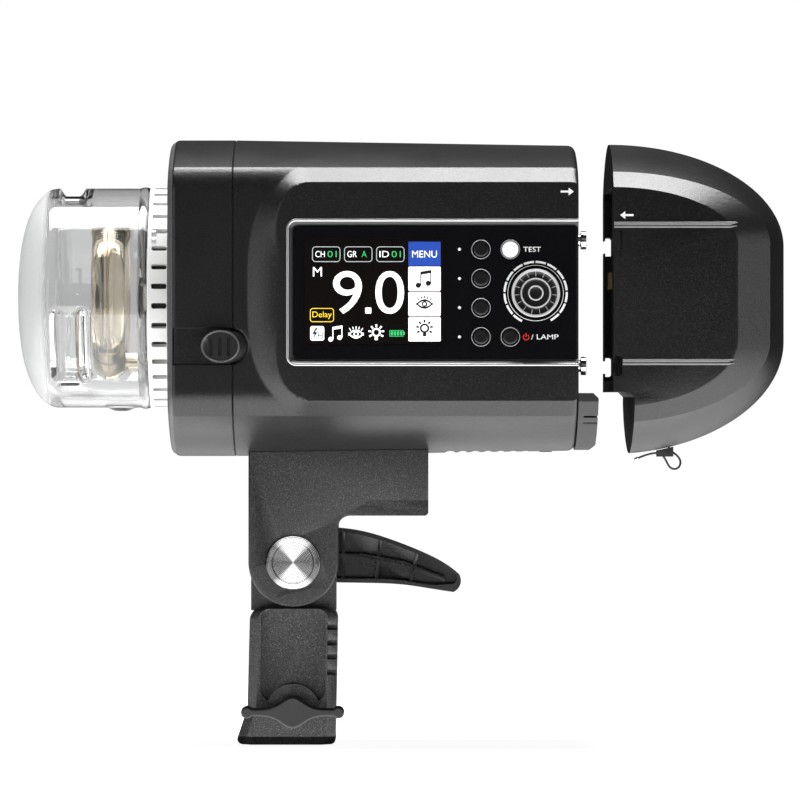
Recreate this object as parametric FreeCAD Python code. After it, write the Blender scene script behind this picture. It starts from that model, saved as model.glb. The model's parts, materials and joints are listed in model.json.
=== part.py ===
import FreeCAD, Part
import math
import os

# Monolight strobe with a clip-on battery and a tilting stand bracket, in millimetres.
# Origin: centre of the stand socket's mouth.  +Z up, +X towards the rear of the lamp (the
# battery), -X towards the glass dome, and the control panel is on the -Y side.

V = FreeCAD.Vector
X_DIR = V(1, 0, 0)
Y_DIR = V(0, 1, 0)
Z_DIR = V(0, 0, 1)

# ---- clearances ---------------------------------------------------------------------------
RUN_GAP = 0.06           # radial, between a shaft or plunger and its bore
FIT_GAP = 0.1            # between a piece and the recess it is fixed in
FACE_GAP = 0.3           # between pieces that move past each other

# ---- lamp head: heights are measured from the optical axis -----------------------------------
AXIS_Z = 182.0           # optical axis above the stand socket's mouth
FRONT_X = -49.5          # front rim of the housing
SEAM_X = -23.5           # joint between the front housing and the main housing
HEAD_LENGTH = 164.3      # front rim to rear face
HEAD_TOP = 64.5
HEAD_BOTTOM = -64.8
REAR_DROP = 2.2          # how much lower the crown is at the rear face than at the seam
SIDE_HALF = 60.0         # half width of the plain front part
SIDE_RADIUS = 13.7       # its long corners, which turn through half a right angle
CORNER_TOP = 41.6        # height where the upper corner starts
CORNER_BOTTOM = -38.5
CHEEK_HALF = 63.5        # half width over the raised cheeks
CREASE_HALF = 56.0       # line where crown and cheek facet meet
CREASE_TOP = 51.3
CREASE_BOTTOM = -48.2
CHEEK_TOP = 45.3         # upper edge of the flat cheek
CHEEK_BOTTOM = -42.6
SHELL = 3.6              # wall of the housings
SEAM_CHAMFER = 0.4

# ---- bayonet, vent ring and dome ---------------------------------------------------------------
BAYONET_MOUTH_R = 49.3
BAYONET_LUG_R = 52.0
BAYONET_RING_R = 53.4
BAYONET_THICK = 3.0
BAYONET_CHAMBER = 5.0    # depth of the space in which the lugs turn
BAYONET_FLOOR = 3.0      # wall behind that space
BAYONET_LUG_ANGLE = 32.0
VENT_R = 45.95
VENT_WALL = 3.2
VENT_FRONT_X = -58.3
VENT_SLOTS = 36
VENT_SLOT_W = 2.0
DOME_R = 44.85
DOME_WALL = 2.6
DOME_FRONT_X = -112.6
DOME_CAP_DEPTH = 11.5    # length of the frosted, domed end
DOME_CROWN = 5.0         # rise of the end's shallow crown
DIMPLE_X = -90.3         # middle of the three finger dimples
DIMPLE_LENGTH = 12.0
DIMPLE_DEPTH = 3.2

# ---- flash tube ------------------------------------------------------------------------------
TUBE_X = -75.0
TUBE_RING_R = 28.0
TUBE_OD = 13.6
TUBE_BORE = 9.6
TUBE_GAP_ANGLE = 38.0    # opening of the C at its lower side
LEG_OD = 8.0
LEG_SETBACK = 7.0        # rear end of the legs, ahead of the floor behind the ring
ELECTRODE_R = 1.2
REFLECTOR_BACK = 1.6
REFLECTOR_THICK = 1.4

# ---- control panel ---------------------------------------------------------------------------
PANEL_FRONT_X = 0.7
PANEL_TOP = 27.3
PANEL_BOTTOM = -25.0
PANEL_REAR_SETBACK = 1.0
PANEL_THICK = 1.6
FRAME_BAND = 2.8         # width of the bright strip around the panel
RECESS_DEPTH = 1.9
KEY_R = 3.9
KEY_PITCH = 11.65
KEY_TRAVEL = 0.8
KEY_SETBACK = 39.0       # key column, from the rear face
KEY_TOP_ROW = 18.35
SECOND_COLUMN = 11.7     # from the key column to the test and power keys
DIAL_R = 9.7
DIAL_SETBACK = 17.2
DIAL_HEIGHT = 0.9
DIAL_PROUD = 3.4
DIAL_BORE_R = 3.2

# ---- battery ---------------------------------------------------------------------------------
BATTERY_GAP = 14.0       # drawn off its seat by this much at rest
BATTERY_SEAT_GAP = 0.3
BATTERY_LENGTH = 71.6
BATTERY_TOP = 62.8
BATTERY_BOTTOM = -64.3
BATTERY_REAR_TOP = 20.6  # ends of the straight stretch of the rear edge
BATTERY_REAR_BOTTOM = -18.0
BATTERY_CREASE_IN = 13.2 # how far crown edges lie inside the middle outline, top and bottom
BATTERY_CREASE_REAR = 8.7
BATTERY_FACE_IN = 19.6   # the same for the flat side faces
BATTERY_FACE_REAR = 22.3
BATTERY_WALL = 2.6
NOTCH_TOP = -38.6        # the step that clears the latch heel
HEEL_LENGTH = 8.0
STUD_HEIGHTS = (22.1, -28.2)
STUD_Y = 56.0
STUD_NECK_R = 2.35
STUD_HEAD_R = 3.65
STUD_NECK_L = 1.0
STUD_HEAD_L = 2.2
STUD_ROOT = 2.4          # how far the stud's neck reaches into the bulkhead
LOCK_PIN_R = 1.6
LOCK_PIN_OUT = 4.6       # how far the lock pin stands out of the rear face

# ---- bracket ---------------------------------------------------------------------------------
PIVOT_Z = 74.2
CHEEK_END_R = 18.2       # round lower end of the upper bracket
BRACKET_HALF = 19.5      # half width of both brackets
TONGUE_HALF = 8.0
WASHER_THICK = 1.1
SLOT_HALF = 9.3
FOOT_REAR_X = 55.0
FOOT_CLEAR = 18.9        # underside of the foot and top of the shoulder, from the pivot
BOLT_R = 5.0
BOLT_HEAD_R = 11.0
SOCKET_R = 8.1
SOCKET_DEPTH = 50.0
CLAMP_Z = 13.8
CLAMP_R = 4.0
WING_HALF = 21.0
LEVER_LENGTH = 69.0
LEVER_Y0 = 20.2
LEVER_DEPTH = 7.6

# ---- panel recess, display, boards and fan ------------------------------------------------------
FRAME_CORNER = 4.0
FRAME_LIP = 0.5          # how far the strip reaches past the panel's own band, top and bottom
LEDGE = 3.4              # how far the recess floor reaches in under the panel
DIAL_BOSS_R = 8.5
BOARD_Y = 57.0
BOARD_THICK = 1.6
LCD_MARGIN = 4.4         # panel's front edge to the display
LCD_TO_KEYS = 14.2       # display to the key column
LCD_TOP = 22.8
LCD_BOTTOM = -20.0
LAMP_R = 13.0
LAMP_LENGTH = 8.0
LENS_R = 9.0
FAN_AXIS = 3.0           # height of the fan's axis
FAN_HALF = 25.0
FAN_BORE_R = 23.4
FAN_THICK = 12.0
FAN_SETBACK = 26.0

# ---- lock slider and the modifier's lock ---------------------------------------------------------
SLIDER_X = -28.4
SLIDER_Z = -20.4
SLIDER_TRAVEL = 5.0
SLIDER_PROUD = 4.2
CHANNEL_HALF = 7.5
CHANNEL_DEPTH = 1.2
CHANNEL_SETBACK = 2.2    # from the front rim
CHANNEL_REAR_X = -12.0
STEM_X0 = -27.0
STEM_X1 = -22.2
STEM_HALF = 2.4
CARRIAGE_X1 = -19.0      # rear of the slider's inner end, which carries the lock pin
CARRIAGE_HALF = 4.0
STEM_LAP = 0.2           # how far stem and carriage run into each other
KNOB_FOOT = (-24.9, 7.6, 6.4)        # X, half length and half height at the channel's floor
KNOB_FACE = (7.75, 6.55)             # half length and half height of its leaning face
KNOB_LEAN = 8.0
GROOVE_XS = (-31.9, -28.4, -25.0)
LUG_PIN_R = 1.75

# ---- rear face, keel -----------------------------------------------------------------------------
BULKHEAD_DEPTH = 3.2
BULKHEAD_SETBACK = 0.5   # its outer face, from the rear face
SCREW_HEAD_R = 3.0
SCREW_HEAD_L = 0.8
SCREW_R = 1.5
BULKHEAD_SCREWS = [(y, z) for y in (-38, 38) for z in (38, -34)]
POCKET_WALL = 2.4
BUTTON_SETBACK = 11.7
BUTTON_R = 2.6
RIB_COUNT = 7
RIB_PITCH = 5.15
RIB_X0 = 64.0

# ---- battery's seats, cells and tether ------------------------------------------------------------
KAPPA = 0.5523           # reach of a curve's handles for a quarter oval
BATTERY_RIM = 6.5        # depth of the solid rim that carries the stud seats
FRONT_POCKET = (46.0, 44.0, -34.0)   # half width, top and bottom of the plate's pocket
PLATE_THICK = 2.4
BAND_DEPTH = 0.6
BAND_TOP = 26.0
BAND_BOTTOM = -25.4
BAND_LENGTH = 49.0
EYELET_X = 153.4
EYELET_Y = 1.3
CELL_R = 9.1
CELL_LENGTH = 65.0
CORD_R = 0.43
CORD_POINTS = [
    (153.4, 1.3, 121.6), (154.1, 1.3, 119.9), (155.6, 1.2, 118.6), (157.4, 1.0, 117.2),
    (158.6, 0.7, 115.2), (158.2, 0.3, 112.9), (156.2, 0.0, 111.6), (153.9, -0.4, 112.6),
    (152.8, -0.8, 114.8), (151.6, -1.2, 117.0), (149.9, -1.4, 118.4), (147.7, -1.5, 118.5),
    (145.4, -1.5, 118.0), (143.1, -1.4, 117.3), (141.0, -1.3, 116.4),
]
DIMPLE_ANGLES = (90, 210, 330)

# ---- stand adapter and clamp ------------------------------------------------------------------------
ADAPTER_LEFT = -17.6
ADAPTER_RIGHT = 18.0
FLARE_LEFT = -23.6
FLARE_Z = 15.0
FACET = 3.6              # slanted facets down both sides of the grip block
PAD_GAP = 0.5            # pad to the mouth of the socket's wall
PAD_LENGTH = 2.0
WING_STANDOFF = 4.4      # inner face of the wings, from the adapter's side
WING_DEPTH = 10.6

# ---- worked out from the values above ------------------------------------------------------------
REAR_X = FRONT_X + HEAD_LENGTH
FLOOR_X = FRONT_X + BAYONET_THICK + BAYONET_CHAMBER
CARRIAGE_X0 = FLOOR_X + BAYONET_FLOOR + SLIDER_TRAVEL + FACE_GAP
BULKHEAD_FACE_X = REAR_X - BULKHEAD_SETBACK
REAR_TOP = HEAD_TOP - REAR_DROP
REAR_BOTTOM = HEAD_BOTTOM + REAR_DROP
RECESS_Y = CHEEK_HALF - RECESS_DEPTH
PANEL_REAR_X = REAR_X - PANEL_REAR_SETBACK
PANEL_FACE_Y = RECESS_Y + PANEL_THICK
KEY_X = REAR_X - KEY_SETBACK
DIAL_X = REAR_X - DIAL_SETBACK
BATTERY_X = REAR_X + BATTERY_GAP
STUD_OUT = STUD_NECK_L + STUD_HEAD_L
STUD_SEAT = STUD_OUT - BATTERY_SEAT_GAP + 0.5
LOCK_PIN_Z = STUD_HEIGHTS[1]
FRAME_X0 = PANEL_FRONT_X - FRAME_BAND
FRAME_TOP = PANEL_TOP + FRAME_BAND + FRAME_LIP
FRAME_BOTTOM = PANEL_BOTTOM - FRAME_BAND - FRAME_LIP
PANEL_GAP = FRAME_BAND + FACE_GAP
LCD_X0 = PANEL_FRONT_X + LCD_MARGIN
LCD_X1 = KEY_X - LCD_TO_KEYS
FAN_X = REAR_X - FAN_SETBACK
CHANNEL_FRONT_X = FRONT_X + CHANNEL_SETBACK
LOCK_Y = math.sqrt((BAYONET_LUG_R - LUG_PIN_R) ** 2 - SLIDER_Z ** 2)
BUTTON_X = REAR_X - BUTTON_SETBACK
NOTCH_LENGTH = HEEL_LENGTH + 0.4
BAND_REAR_X = BATTERY_X + BAND_LENGTH
FOOT_Z0 = PIVOT_Z + FOOT_CLEAR
FOOT_Z1 = AXIS_Z + HEAD_BOTTOM - FIT_GAP
SHOULDER_Z = PIVOT_Z - FOOT_CLEAR
CLAMP_TIP_Y = -SOCKET_R - PAD_GAP
WING_Y1 = -BRACKET_HALF - WING_STANDOFF
WING_Y0 = WING_Y1 - WING_DEPTH


# ---- small makers ----------------------------------------------------------------------------
def box(x0, x1, y0, y1, z0, z1):
    return Part.makeBox(x1 - x0, y1 - y0, z1 - z0, V(x0, y0, z0))


def rod(start, direction, radius, length):
    return Part.makeCylinder(radius, length, start, direction)


def pipe(start, direction, outer, inner, length):
    hole = rod(start - direction, direction, inner, length + 2)
    return rod(start, direction, outer, length).cut(hole)


def group(shapes):
    return Part.makeCompound(shapes)


def both_sides(shape):
    """The shape and its mirror image across the plane Y = 0."""
    return [shape, shape.mirror(V(0, 0, 0), Y_DIR)]


def rounded_wire(corners, place):
    """A closed outline of straight runs and tangent arcs; corners are (u, v, radius)."""
    edges = []
    starts = []
    ends = []
    count = len(corners)
    for i, (u, v, r) in enumerate(corners):
        here = V(u, v, 0)
        back = V(*corners[i - 1][:2], 0) - here
        ahead = V(*corners[(i + 1) % count][:2], 0) - here
        half = back.getAngle(ahead) / 2
        back.normalize()
        ahead.normalize()
        reach = r / math.tan(half)
        bisector = back + ahead
        bisector.normalize()
        middle = here + bisector * (r / math.sin(half) - r)
        starts.append(here + back * reach)
        ends.append(here + ahead * reach)
        if r > 0:
            edges.append(Part.Arc(place(starts[i]), place(middle), place(ends[i])).toShape())
        if i > 0:
            edges.append(Part.LineSegment(place(ends[i - 1]), place(starts[i])).toShape())
    edges.append(Part.LineSegment(place(ends[-1]), place(starts[0])).toShape())
    return Part.Wire(Part.__sortEdges__(edges))


def side_plane(y):
    """Places an outline drawn in X and Z at the depth y."""
    return lambda p: V(p.x, y, p.y)


def slab(corners, y0, y1):
    """An outline in X and Z, given depth from y0 to y1."""
    face = Part.Face(rounded_wire(corners, side_plane(y0)))
    return face.extrude(V(0, y1 - y0, 0))


def rectangle(x0, x1, z0, z1, r):
    return [(x0, z0, r), (x1, z0, r), (x1, z1, r), (x0, z1, r)]


def at_axis(z):
    return AXIS_Z + z


def crown(y, middle, edge, half):
    """Height at y of the shallow arc that has `middle` at y = 0 and `edge` at y = half."""
    rise = middle - edge
    radius = (half * half + rise * rise) / (2 * rise)
    return middle - radius + math.copysign(math.sqrt(radius * radius - y * y), radius)


def arc(a, b, c):
    return Part.Arc(a, b, c).toShape()


def line(a, b):
    return Part.LineSegment(a, b).toShape()


# ---- lamp head sections ------------------------------------------------------------------------
def plain_section(x, top, bottom, inset=0.0):
    """Cross-section of the front part: crown, long round corners, flat sides and keel."""
    radius = SIDE_RADIUS - inset
    side = SIDE_HALF - inset
    centre_y = SIDE_HALF - SIDE_RADIUS
    corner = [V(x, side, at_axis(CORNER_TOP))]
    for turn in (22.5, 45):
        a = math.radians(turn)
        corner.append(V(x, centre_y + radius * math.cos(a),
                        at_axis(CORNER_TOP + radius * math.sin(a))))
    lower = [V(x, p.y, 2 * AXIS_Z - p.z + CORNER_TOP + CORNER_BOTTOM) for p in corner]
    flip = [V(p.x, -p.y, p.z) for p in corner]
    flip_lower = [V(p.x, -p.y, p.z) for p in lower]
    edges = [
        arc(flip[2], V(x, 0, at_axis(top - inset)), corner[2]),
        arc(corner[2], corner[1], corner[0]),
        line(corner[0], lower[0]),
        arc(lower[0], lower[1], lower[2]),
        arc(lower[2], V(x, 0, at_axis(bottom + inset)), flip_lower[2]),
        arc(flip_lower[2], flip_lower[1], flip_lower[0]),
        line(flip_lower[0], flip[0]),
        arc(flip[0], flip[1], flip[2]),
    ]
    return Part.Wire(edges)


def cheek_section(x, top, bottom):
    """Cross-section over both raised cheeks."""
    points = [V(x, CREASE_HALF, at_axis(CREASE_TOP)), V(x, CHEEK_HALF, at_axis(CHEEK_TOP)),
              V(x, CHEEK_HALF, at_axis(CHEEK_BOTTOM)), V(x, CREASE_HALF, at_axis(CREASE_BOTTOM))]
    flip = [V(p.x, -p.y, p.z) for p in points]
    edges = [
        arc(flip[0], V(x, 0, at_axis(top)), points[0]),
        line(points[0], points[1]),
        line(points[1], points[2]),
        line(points[2], points[3]),
        arc(points[3], V(x, 0, at_axis(bottom)), flip[3]),
        line(flip[3], flip[2]),
        line(flip[2], flip[1]),
        line(flip[1], flip[0]),
    ]
    return Part.Wire(edges)


def cheek_prism(x0, x1, inset):
    face = Part.Face(cheek_section(x0, REAR_TOP, REAR_BOTTOM)).makeOffset2D(-inset)
    return face.extrude(V(x1 - x0, 0, 0))


def cheek_hump(sign):
    """One raised cheek: its outline shrinks and its nose draws back towards the flat face."""
    wires = []
    for y, nose, r in ((CREASE_HALF, -21.5, 24.0), (SIDE_HALF, -17.3, 22.0),
                       (SIDE_HALF + 2.2, -10.5, 17.5), (CHEEK_HALF, -3.6, 15.0)):
        share = (y - CREASE_HALF) / (CHEEK_HALF - CREASE_HALF)
        top = at_axis(CREASE_TOP + (CHEEK_TOP - CREASE_TOP) * share)
        low = at_axis(CREASE_BOTTOM + (CHEEK_BOTTOM - CREASE_BOTTOM) * share)
        corners = [(nose, low, r), (REAR_X, low, 0), (REAR_X, top, 0), (nose, top, r)]
        wires.append(rounded_wire(corners, side_plane(sign * y)))
    hump = Part.makeLoft(wires, True, True)
    return hump.cut(box(FRONT_X, SEAM_X, -CHEEK_HALF, CHEEK_HALF, 0, 2 * AXIS_Z))


def slider_channel():
    """The shallow way along the near side and the slot that the slider's stem runs in."""
    z = at_axis(SLIDER_Z)
    way = box(CHANNEL_FRONT_X, CHANNEL_REAR_X, -SIDE_HALF - 1, -SIDE_HALF + CHANNEL_DEPTH,
              z - CHANNEL_HALF, z + CHANNEL_HALF)
    slot = box(STEM_X0 - SLIDER_TRAVEL - FACE_GAP, STEM_X1 + FACE_GAP,
               -SIDE_HALF - 1, -SIDE_HALF + SHELL + 1, z - STEM_HALF - FACE_GAP,
               z + STEM_HALF + FACE_GAP)
    knob_path = box(STEM_X0 - 7.5 - SLIDER_TRAVEL, -16.6, -CHEEK_HALF - 1,
                    -SIDE_HALF + CHANNEL_DEPTH, z - CHANNEL_HALF, z + CHANNEL_HALF)
    return way, slot, knob_path


def front_housing():
    outer = Part.makeLoft([
        plain_section(FRONT_X, HEAD_TOP - 1.2, HEAD_BOTTOM + 1.2, 1.6),
        plain_section(FRONT_X + 2.0, HEAD_TOP - 0.9, HEAD_BOTTOM + 0.9, 0.3),
        plain_section(SEAM_X - SEAM_CHAMFER, HEAD_TOP, HEAD_BOTTOM),
        plain_section(SEAM_X, HEAD_TOP, HEAD_BOTTOM, SEAM_CHAMFER)], True, True)
    floor_x1 = FLOOR_X + BAYONET_FLOOR
    axis = V(FRONT_X - 1, 0, AXIS_Z)
    shell = outer.cut(rod(axis, X_DIR, BAYONET_RING_R + FIT_GAP, BAYONET_THICK + 1))
    shell = shell.cut(rod(axis, X_DIR, BAYONET_LUG_R + 0.7, FLOOR_X - FRONT_X + 1))
    shell = shell.cut(rod(axis, X_DIR, TUBE_RING_R + 8, floor_x1 - FRONT_X + 2))
    rear_room = Part.Face(plain_section(floor_x1, HEAD_TOP, HEAD_BOTTOM, SHELL))
    shell = shell.cut(rear_room.extrude(V(SEAM_X - floor_x1 + 1, 0, 0)))
    way, slot, _ = slider_channel()
    shell = shell.cut(way).cut(slot)
    pin = rod(V(FLOOR_X - 1, -LOCK_Y, at_axis(SLIDER_Z)), X_DIR, LUG_PIN_R + RUN_GAP, 6)
    return shell.cut(pin)


def main_housing():
    seam_top = HEAD_TOP
    seam_low = HEAD_BOTTOM
    body = Part.makeLoft([
        plain_section(SEAM_X, seam_top, seam_low, SEAM_CHAMFER),
        plain_section(SEAM_X + SEAM_CHAMFER, seam_top, seam_low),
        plain_section(REAR_X, REAR_TOP, REAR_BOTTOM)], True, True)
    body = body.fuse([cheek_hump(-1), cheek_hump(1)])
    body = body.cut(Part.Face(plain_section(SEAM_X - 1, REAR_TOP, REAR_BOTTOM, SHELL))
                    .extrude(V(REAR_X - SEAM_X - BULKHEAD_DEPTH + 1, 0, 0)))
    body = body.cut(cheek_prism(10, REAR_X - BULKHEAD_DEPTH, SHELL))
    body = body.cut(cheek_prism(REAR_X - BULKHEAD_DEPTH, REAR_X + 1, POCKET_WALL))
    recess = panel_outline(0, REAR_X + 20)
    window = [(FRAME_X0 + LEDGE, at_axis(FRAME_BOTTOM + LEDGE), 2),
              (REAR_X + 20, at_axis(FRAME_BOTTOM + LEDGE), 2),
              (REAR_X + 20, at_axis(FRAME_TOP - LEDGE), 2),
              (FRAME_X0 + LEDGE, at_axis(FRAME_TOP - LEDGE), 2)]
    for sign in (-1, 1):
        body = body.cut(slab(recess, sign * (CHEEK_HALF + 1), sign * RECESS_Y))
        body = body.cut(slab(window, sign * (CHEEK_HALF + 1), sign * (SIDE_HALF - SHELL - 1)))
    way, slot, knob_path = slider_channel()
    body = body.cut(way).cut(slot).cut(knob_path)
    button = rod(V(BUTTON_X, 0, at_axis(HEAD_BOTTOM) - 1), Z_DIR, BUTTON_R + RUN_GAP, SHELL + 6)
    body = body.cut(button)
    for place in foot_screw_places():
        body = body.cut(rod(place, Z_DIR, 2.1, 32))
    for i in range(RIB_COUNT):
        x = RIB_X0 + i * RIB_PITCH
        body = body.cut(rod(V(x, -30, at_axis(HEAD_BOTTOM) - 1.2), Y_DIR, 3.4, 60))
    return body


def panel_outline(inset, rear_x):
    """Outline shared by the recess, the bright frame and, inset, the panel."""
    r = FRAME_CORNER - inset / 2
    return [(FRAME_X0 + inset, at_axis(FRAME_BOTTOM + inset), r),
            (rear_x, at_axis(FRAME_BOTTOM + inset), 0.01),
            (rear_x, at_axis(FRAME_TOP - inset), 0.01),
            (FRAME_X0 + inset, at_axis(FRAME_TOP - inset), r)]


def panel_frame(sign):
    """The bright U-shaped strip, bevelled down towards the panel."""
    outer = slab(panel_outline(FIT_GAP, REAR_X), sign * RECESS_Y, sign * CHEEK_HALF)
    inner = slab(panel_outline(FRAME_BAND + 0.2, REAR_X + 5), sign * (RECESS_Y - 1),
                 sign * (CHEEK_HALF + 1))
    low = rounded_wire(panel_outline(FRAME_BAND + 0.2, REAR_X + 5),
                       side_plane(sign * PANEL_FACE_Y))
    high = rounded_wire(panel_outline(FRAME_BAND - 1.2, REAR_X + 5),
                        side_plane(sign * (CHEEK_HALF + 0.1)))
    return outer.cut(inner).cut(Part.makeLoft([low, high], True, True))


def key_places():
    """Name, X and height of each key of the panel."""
    places = []
    for i in range(4):
        places.append(("menu_key_%d" % (i + 1), KEY_X, KEY_TOP_ROW - i * KEY_PITCH))
    places.append(("test_key", KEY_X + SECOND_COLUMN, KEY_TOP_ROW))
    places.append(("power_key", KEY_X + SECOND_COLUMN, KEY_TOP_ROW - 3 * KEY_PITCH))
    return places


def panel_plate(sign):
    plate = slab(panel_outline(PANEL_GAP, PANEL_REAR_X), sign * (RECESS_Y + 0.05),
                 sign * PANEL_FACE_Y)
    return plate


def control_panel():
    plate = panel_plate(-1)
    for _, x, z in key_places():
        plate = plate.cut(rod(V(x, -CHEEK_HALF - 2, at_axis(z)), Y_DIR, KEY_R + RUN_GAP, 5))
    dial = rod(V(DIAL_X, -CHEEK_HALF - 2, at_axis(DIAL_HEIGHT)), Y_DIR, DIAL_BOSS_R + RUN_GAP, 5)
    window = slab(rectangle(LCD_X0, LCD_X1, at_axis(LCD_BOTTOM), at_axis(LCD_TOP), 1.0),
                  -CHEEK_HALF - 2, -RECESS_Y + 2)
    return plate.cut(dial).cut(window)


def key(x, z):
    """A round key: cap through the panel, dished ring in its face and a flange behind."""
    face_y = -PANEL_FACE_Y - 0.4
    cap = rod(V(x, face_y, at_axis(z)), Y_DIR, KEY_R, 2.4)
    ring = pipe(V(x, face_y - 0.5, at_axis(z)), Y_DIR, KEY_R - 0.35, KEY_R - 0.95, 0.85)
    flange = rod(V(x, -RECESS_Y + FACE_GAP, at_axis(z)), Y_DIR, KEY_R + 0.6, 0.8)
    stem = rod(V(x, -RECESS_Y + FACE_GAP, at_axis(z)), Y_DIR, 1.4,
               RECESS_Y - BOARD_Y - 2 * FACE_GAP - KEY_TRAVEL)
    return cap.cut(ring).fuse([flange, stem]).removeSplitter()


def dial():
    centre = at_axis(DIAL_HEIGHT)
    face_y = -PANEL_FACE_Y - DIAL_PROUD
    rim = rod(V(DIAL_X, face_y, centre), Y_DIR, DIAL_R, DIAL_PROUD - FACE_GAP)
    outer_edge = [e for e in rim.Edges if abs(e.BoundBox.Center.y - face_y) < 0.1
                  and e.Length > 2 * DIAL_R]
    rim = rim.makeChamfer(0.7, outer_edge)
    boss = rod(V(DIAL_X, face_y, centre), Y_DIR, DIAL_BOSS_R,
               DIAL_PROUD + PANEL_THICK + 1.4)
    body = rim.fuse(boss)
    body = body.cut(pipe(V(DIAL_X, face_y - 1, centre), Y_DIR, 6.3, 5.7, 1.3))
    for i in range(15):
        a = math.radians(i * 24)
        start = V(DIAL_X + 6.6 * math.cos(a), face_y + 0.05, centre + 6.6 * math.sin(a))
        body = body.cut(rod(start, V(math.cos(a), 0, math.sin(a)), 0.25, 2.0))
    bore = rod(V(DIAL_X, face_y - 1, centre), Y_DIR, DIAL_BORE_R, 20)
    return body.cut(bore).removeSplitter()


def dial_button():
    centre = at_axis(DIAL_HEIGHT)
    face_y = -PANEL_FACE_Y - DIAL_PROUD + 0.1
    cap = rod(V(DIAL_X, face_y, centre), Y_DIR, DIAL_BORE_R - RUN_GAP, 5.0)
    stem = rod(V(DIAL_X, face_y, centre), Y_DIR, 1.5, -BOARD_Y - FACE_GAP - KEY_TRAVEL - face_y)
    return cap.fuse(stem).removeSplitter()


def rear_bulkhead():
    x0 = REAR_X - BULKHEAD_DEPTH + FIT_GAP
    plate = cheek_prism(x0, BULKHEAD_FACE_X, POCKET_WALL + FIT_GAP)
    plate = plate.cut(rod(V(x0 - 1, 0, at_axis(LOCK_PIN_Z)), X_DIR, LOCK_PIN_R + RUN_GAP, 6))
    plate = plate.cut(box(x0 - 1, REAR_X + 1, -15, 15, at_axis(1), at_axis(13)))
    for y, z in BULKHEAD_SCREWS:
        plate = plate.cut(rod(V(x0 - 1, y, at_axis(z)), X_DIR, SCREW_R + FIT_GAP, 6))
        seat = V(BULKHEAD_FACE_X - SCREW_HEAD_L, y, at_axis(z))
        plate = plate.cut(rod(seat, X_DIR, SCREW_HEAD_R + FIT_GAP, 2))
    for place in stud_places():
        plate = plate.cut(rod(place - X_DIR * 5, X_DIR, STUD_NECK_R + FIT_GAP, 6))
    return plate


def stud_places():
    return [V(BULKHEAD_FACE_X, y, at_axis(z)) for y in (-STUD_Y, STUD_Y) for z in STUD_HEIGHTS]


def battery_studs():
    studs = []
    for place in stud_places():
        root = place - X_DIR * STUD_ROOT
        neck_l = STUD_ROOT + BULKHEAD_SETBACK + STUD_NECK_L
        neck = rod(root, X_DIR, STUD_NECK_R, neck_l)
        head = rod(root + X_DIR * neck_l, X_DIR, STUD_HEAD_R, STUD_HEAD_L)
        studs.append(neck.fuse(head).removeSplitter())
    return group(studs)


def pan_screws(places, direction, head_r, head_l, shank_r, shank_l):
    """Screws with a round head at each place; the shank runs on along the direction."""
    screws = []
    for place in places:
        head = rod(place, direction, head_r, head_l)
        socket = rod(place - direction, direction, head_r * 0.45, head_l * 0.6 + 1)
        shank = rod(place + direction * head_l, direction, shank_r, shank_l)
        screws.append(head.cut(socket).fuse(shank).removeSplitter())
    return group(screws)


def latch_heel():
    """The ribbed heel below the battery seat that the battery's notch drops over."""
    heel = cheek_prism(REAR_X, REAR_X + HEEL_LENGTH, 0.3)
    top = at_axis(NOTCH_TOP - 0.4)
    heel = heel.cut(box(REAR_X - 1, REAR_X + HEEL_LENGTH + 1, -80, 80, top, top + 200))
    rear = REAR_X + HEEL_LENGTH
    for z in (top, at_axis(REAR_BOTTOM) + 0.3):
        wedge = box(-1.5, 1.5, -80, 80, -1.5, 1.5)
        wedge.rotate(V(0, 0, 0), Y_DIR, 45)
        wedge.translate(V(rear, 0, z))
        heel = heel.cut(wedge)
    for z in (-48.5, -51.1, -56.0, -60.0):
        heel = heel.cut(box(REAR_X + 2.2, rear + 1, -80, -44 + (z + 48) * 1.6,
                            at_axis(z) - 0.35, at_axis(z) + 0.35))
    return heel


# ---- battery ---------------------------------------------------------------------------------
def battery_outline(y, inset, setback):
    """Side view of the battery at depth y: straight front, quarter ovals, straight rear."""
    half = abs(y)
    if half <= CREASE_HALF:
        drop = crown(half, 0.0, -BATTERY_CREASE_IN, CREASE_HALF)
        pull = crown(half, 0.0, -BATTERY_CREASE_REAR, CREASE_HALF)
    else:
        share = (half - CREASE_HALF) / (CHEEK_HALF - CREASE_HALF)
        drop = -BATTERY_CREASE_IN - share * (BATTERY_FACE_IN - BATTERY_CREASE_IN)
        pull = -BATTERY_CREASE_REAR - share * (BATTERY_FACE_REAR - BATTERY_CREASE_REAR)
    x0 = BATTERY_X + setback
    x1 = BATTERY_X + BATTERY_LENGTH + pull - inset
    top = at_axis(BATTERY_TOP + drop - inset)
    low = at_axis(BATTERY_BOTTOM - drop + inset)
    rear_top = at_axis(BATTERY_REAR_TOP)
    rear_low = at_axis(BATTERY_REAR_BOTTOM)
    upper = Part.BezierCurve()
    upper.setPoles([V(x0, y, top), V(x0 + KAPPA * (x1 - x0), y, top),
                    V(x1, y, rear_top + KAPPA * (top - rear_top)), V(x1, y, rear_top)])
    lower = Part.BezierCurve()
    lower.setPoles([V(x1, y, rear_low), V(x1, y, rear_low + KAPPA * (low - rear_low)),
                    V(x0 + KAPPA * (x1 - x0), y, low), V(x0, y, low)])
    return Part.Wire([upper.toShape(), line(V(x1, y, rear_top), V(x1, y, rear_low)),
                      lower.toShape(), line(V(x0, y, low), V(x0, y, top))])


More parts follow.
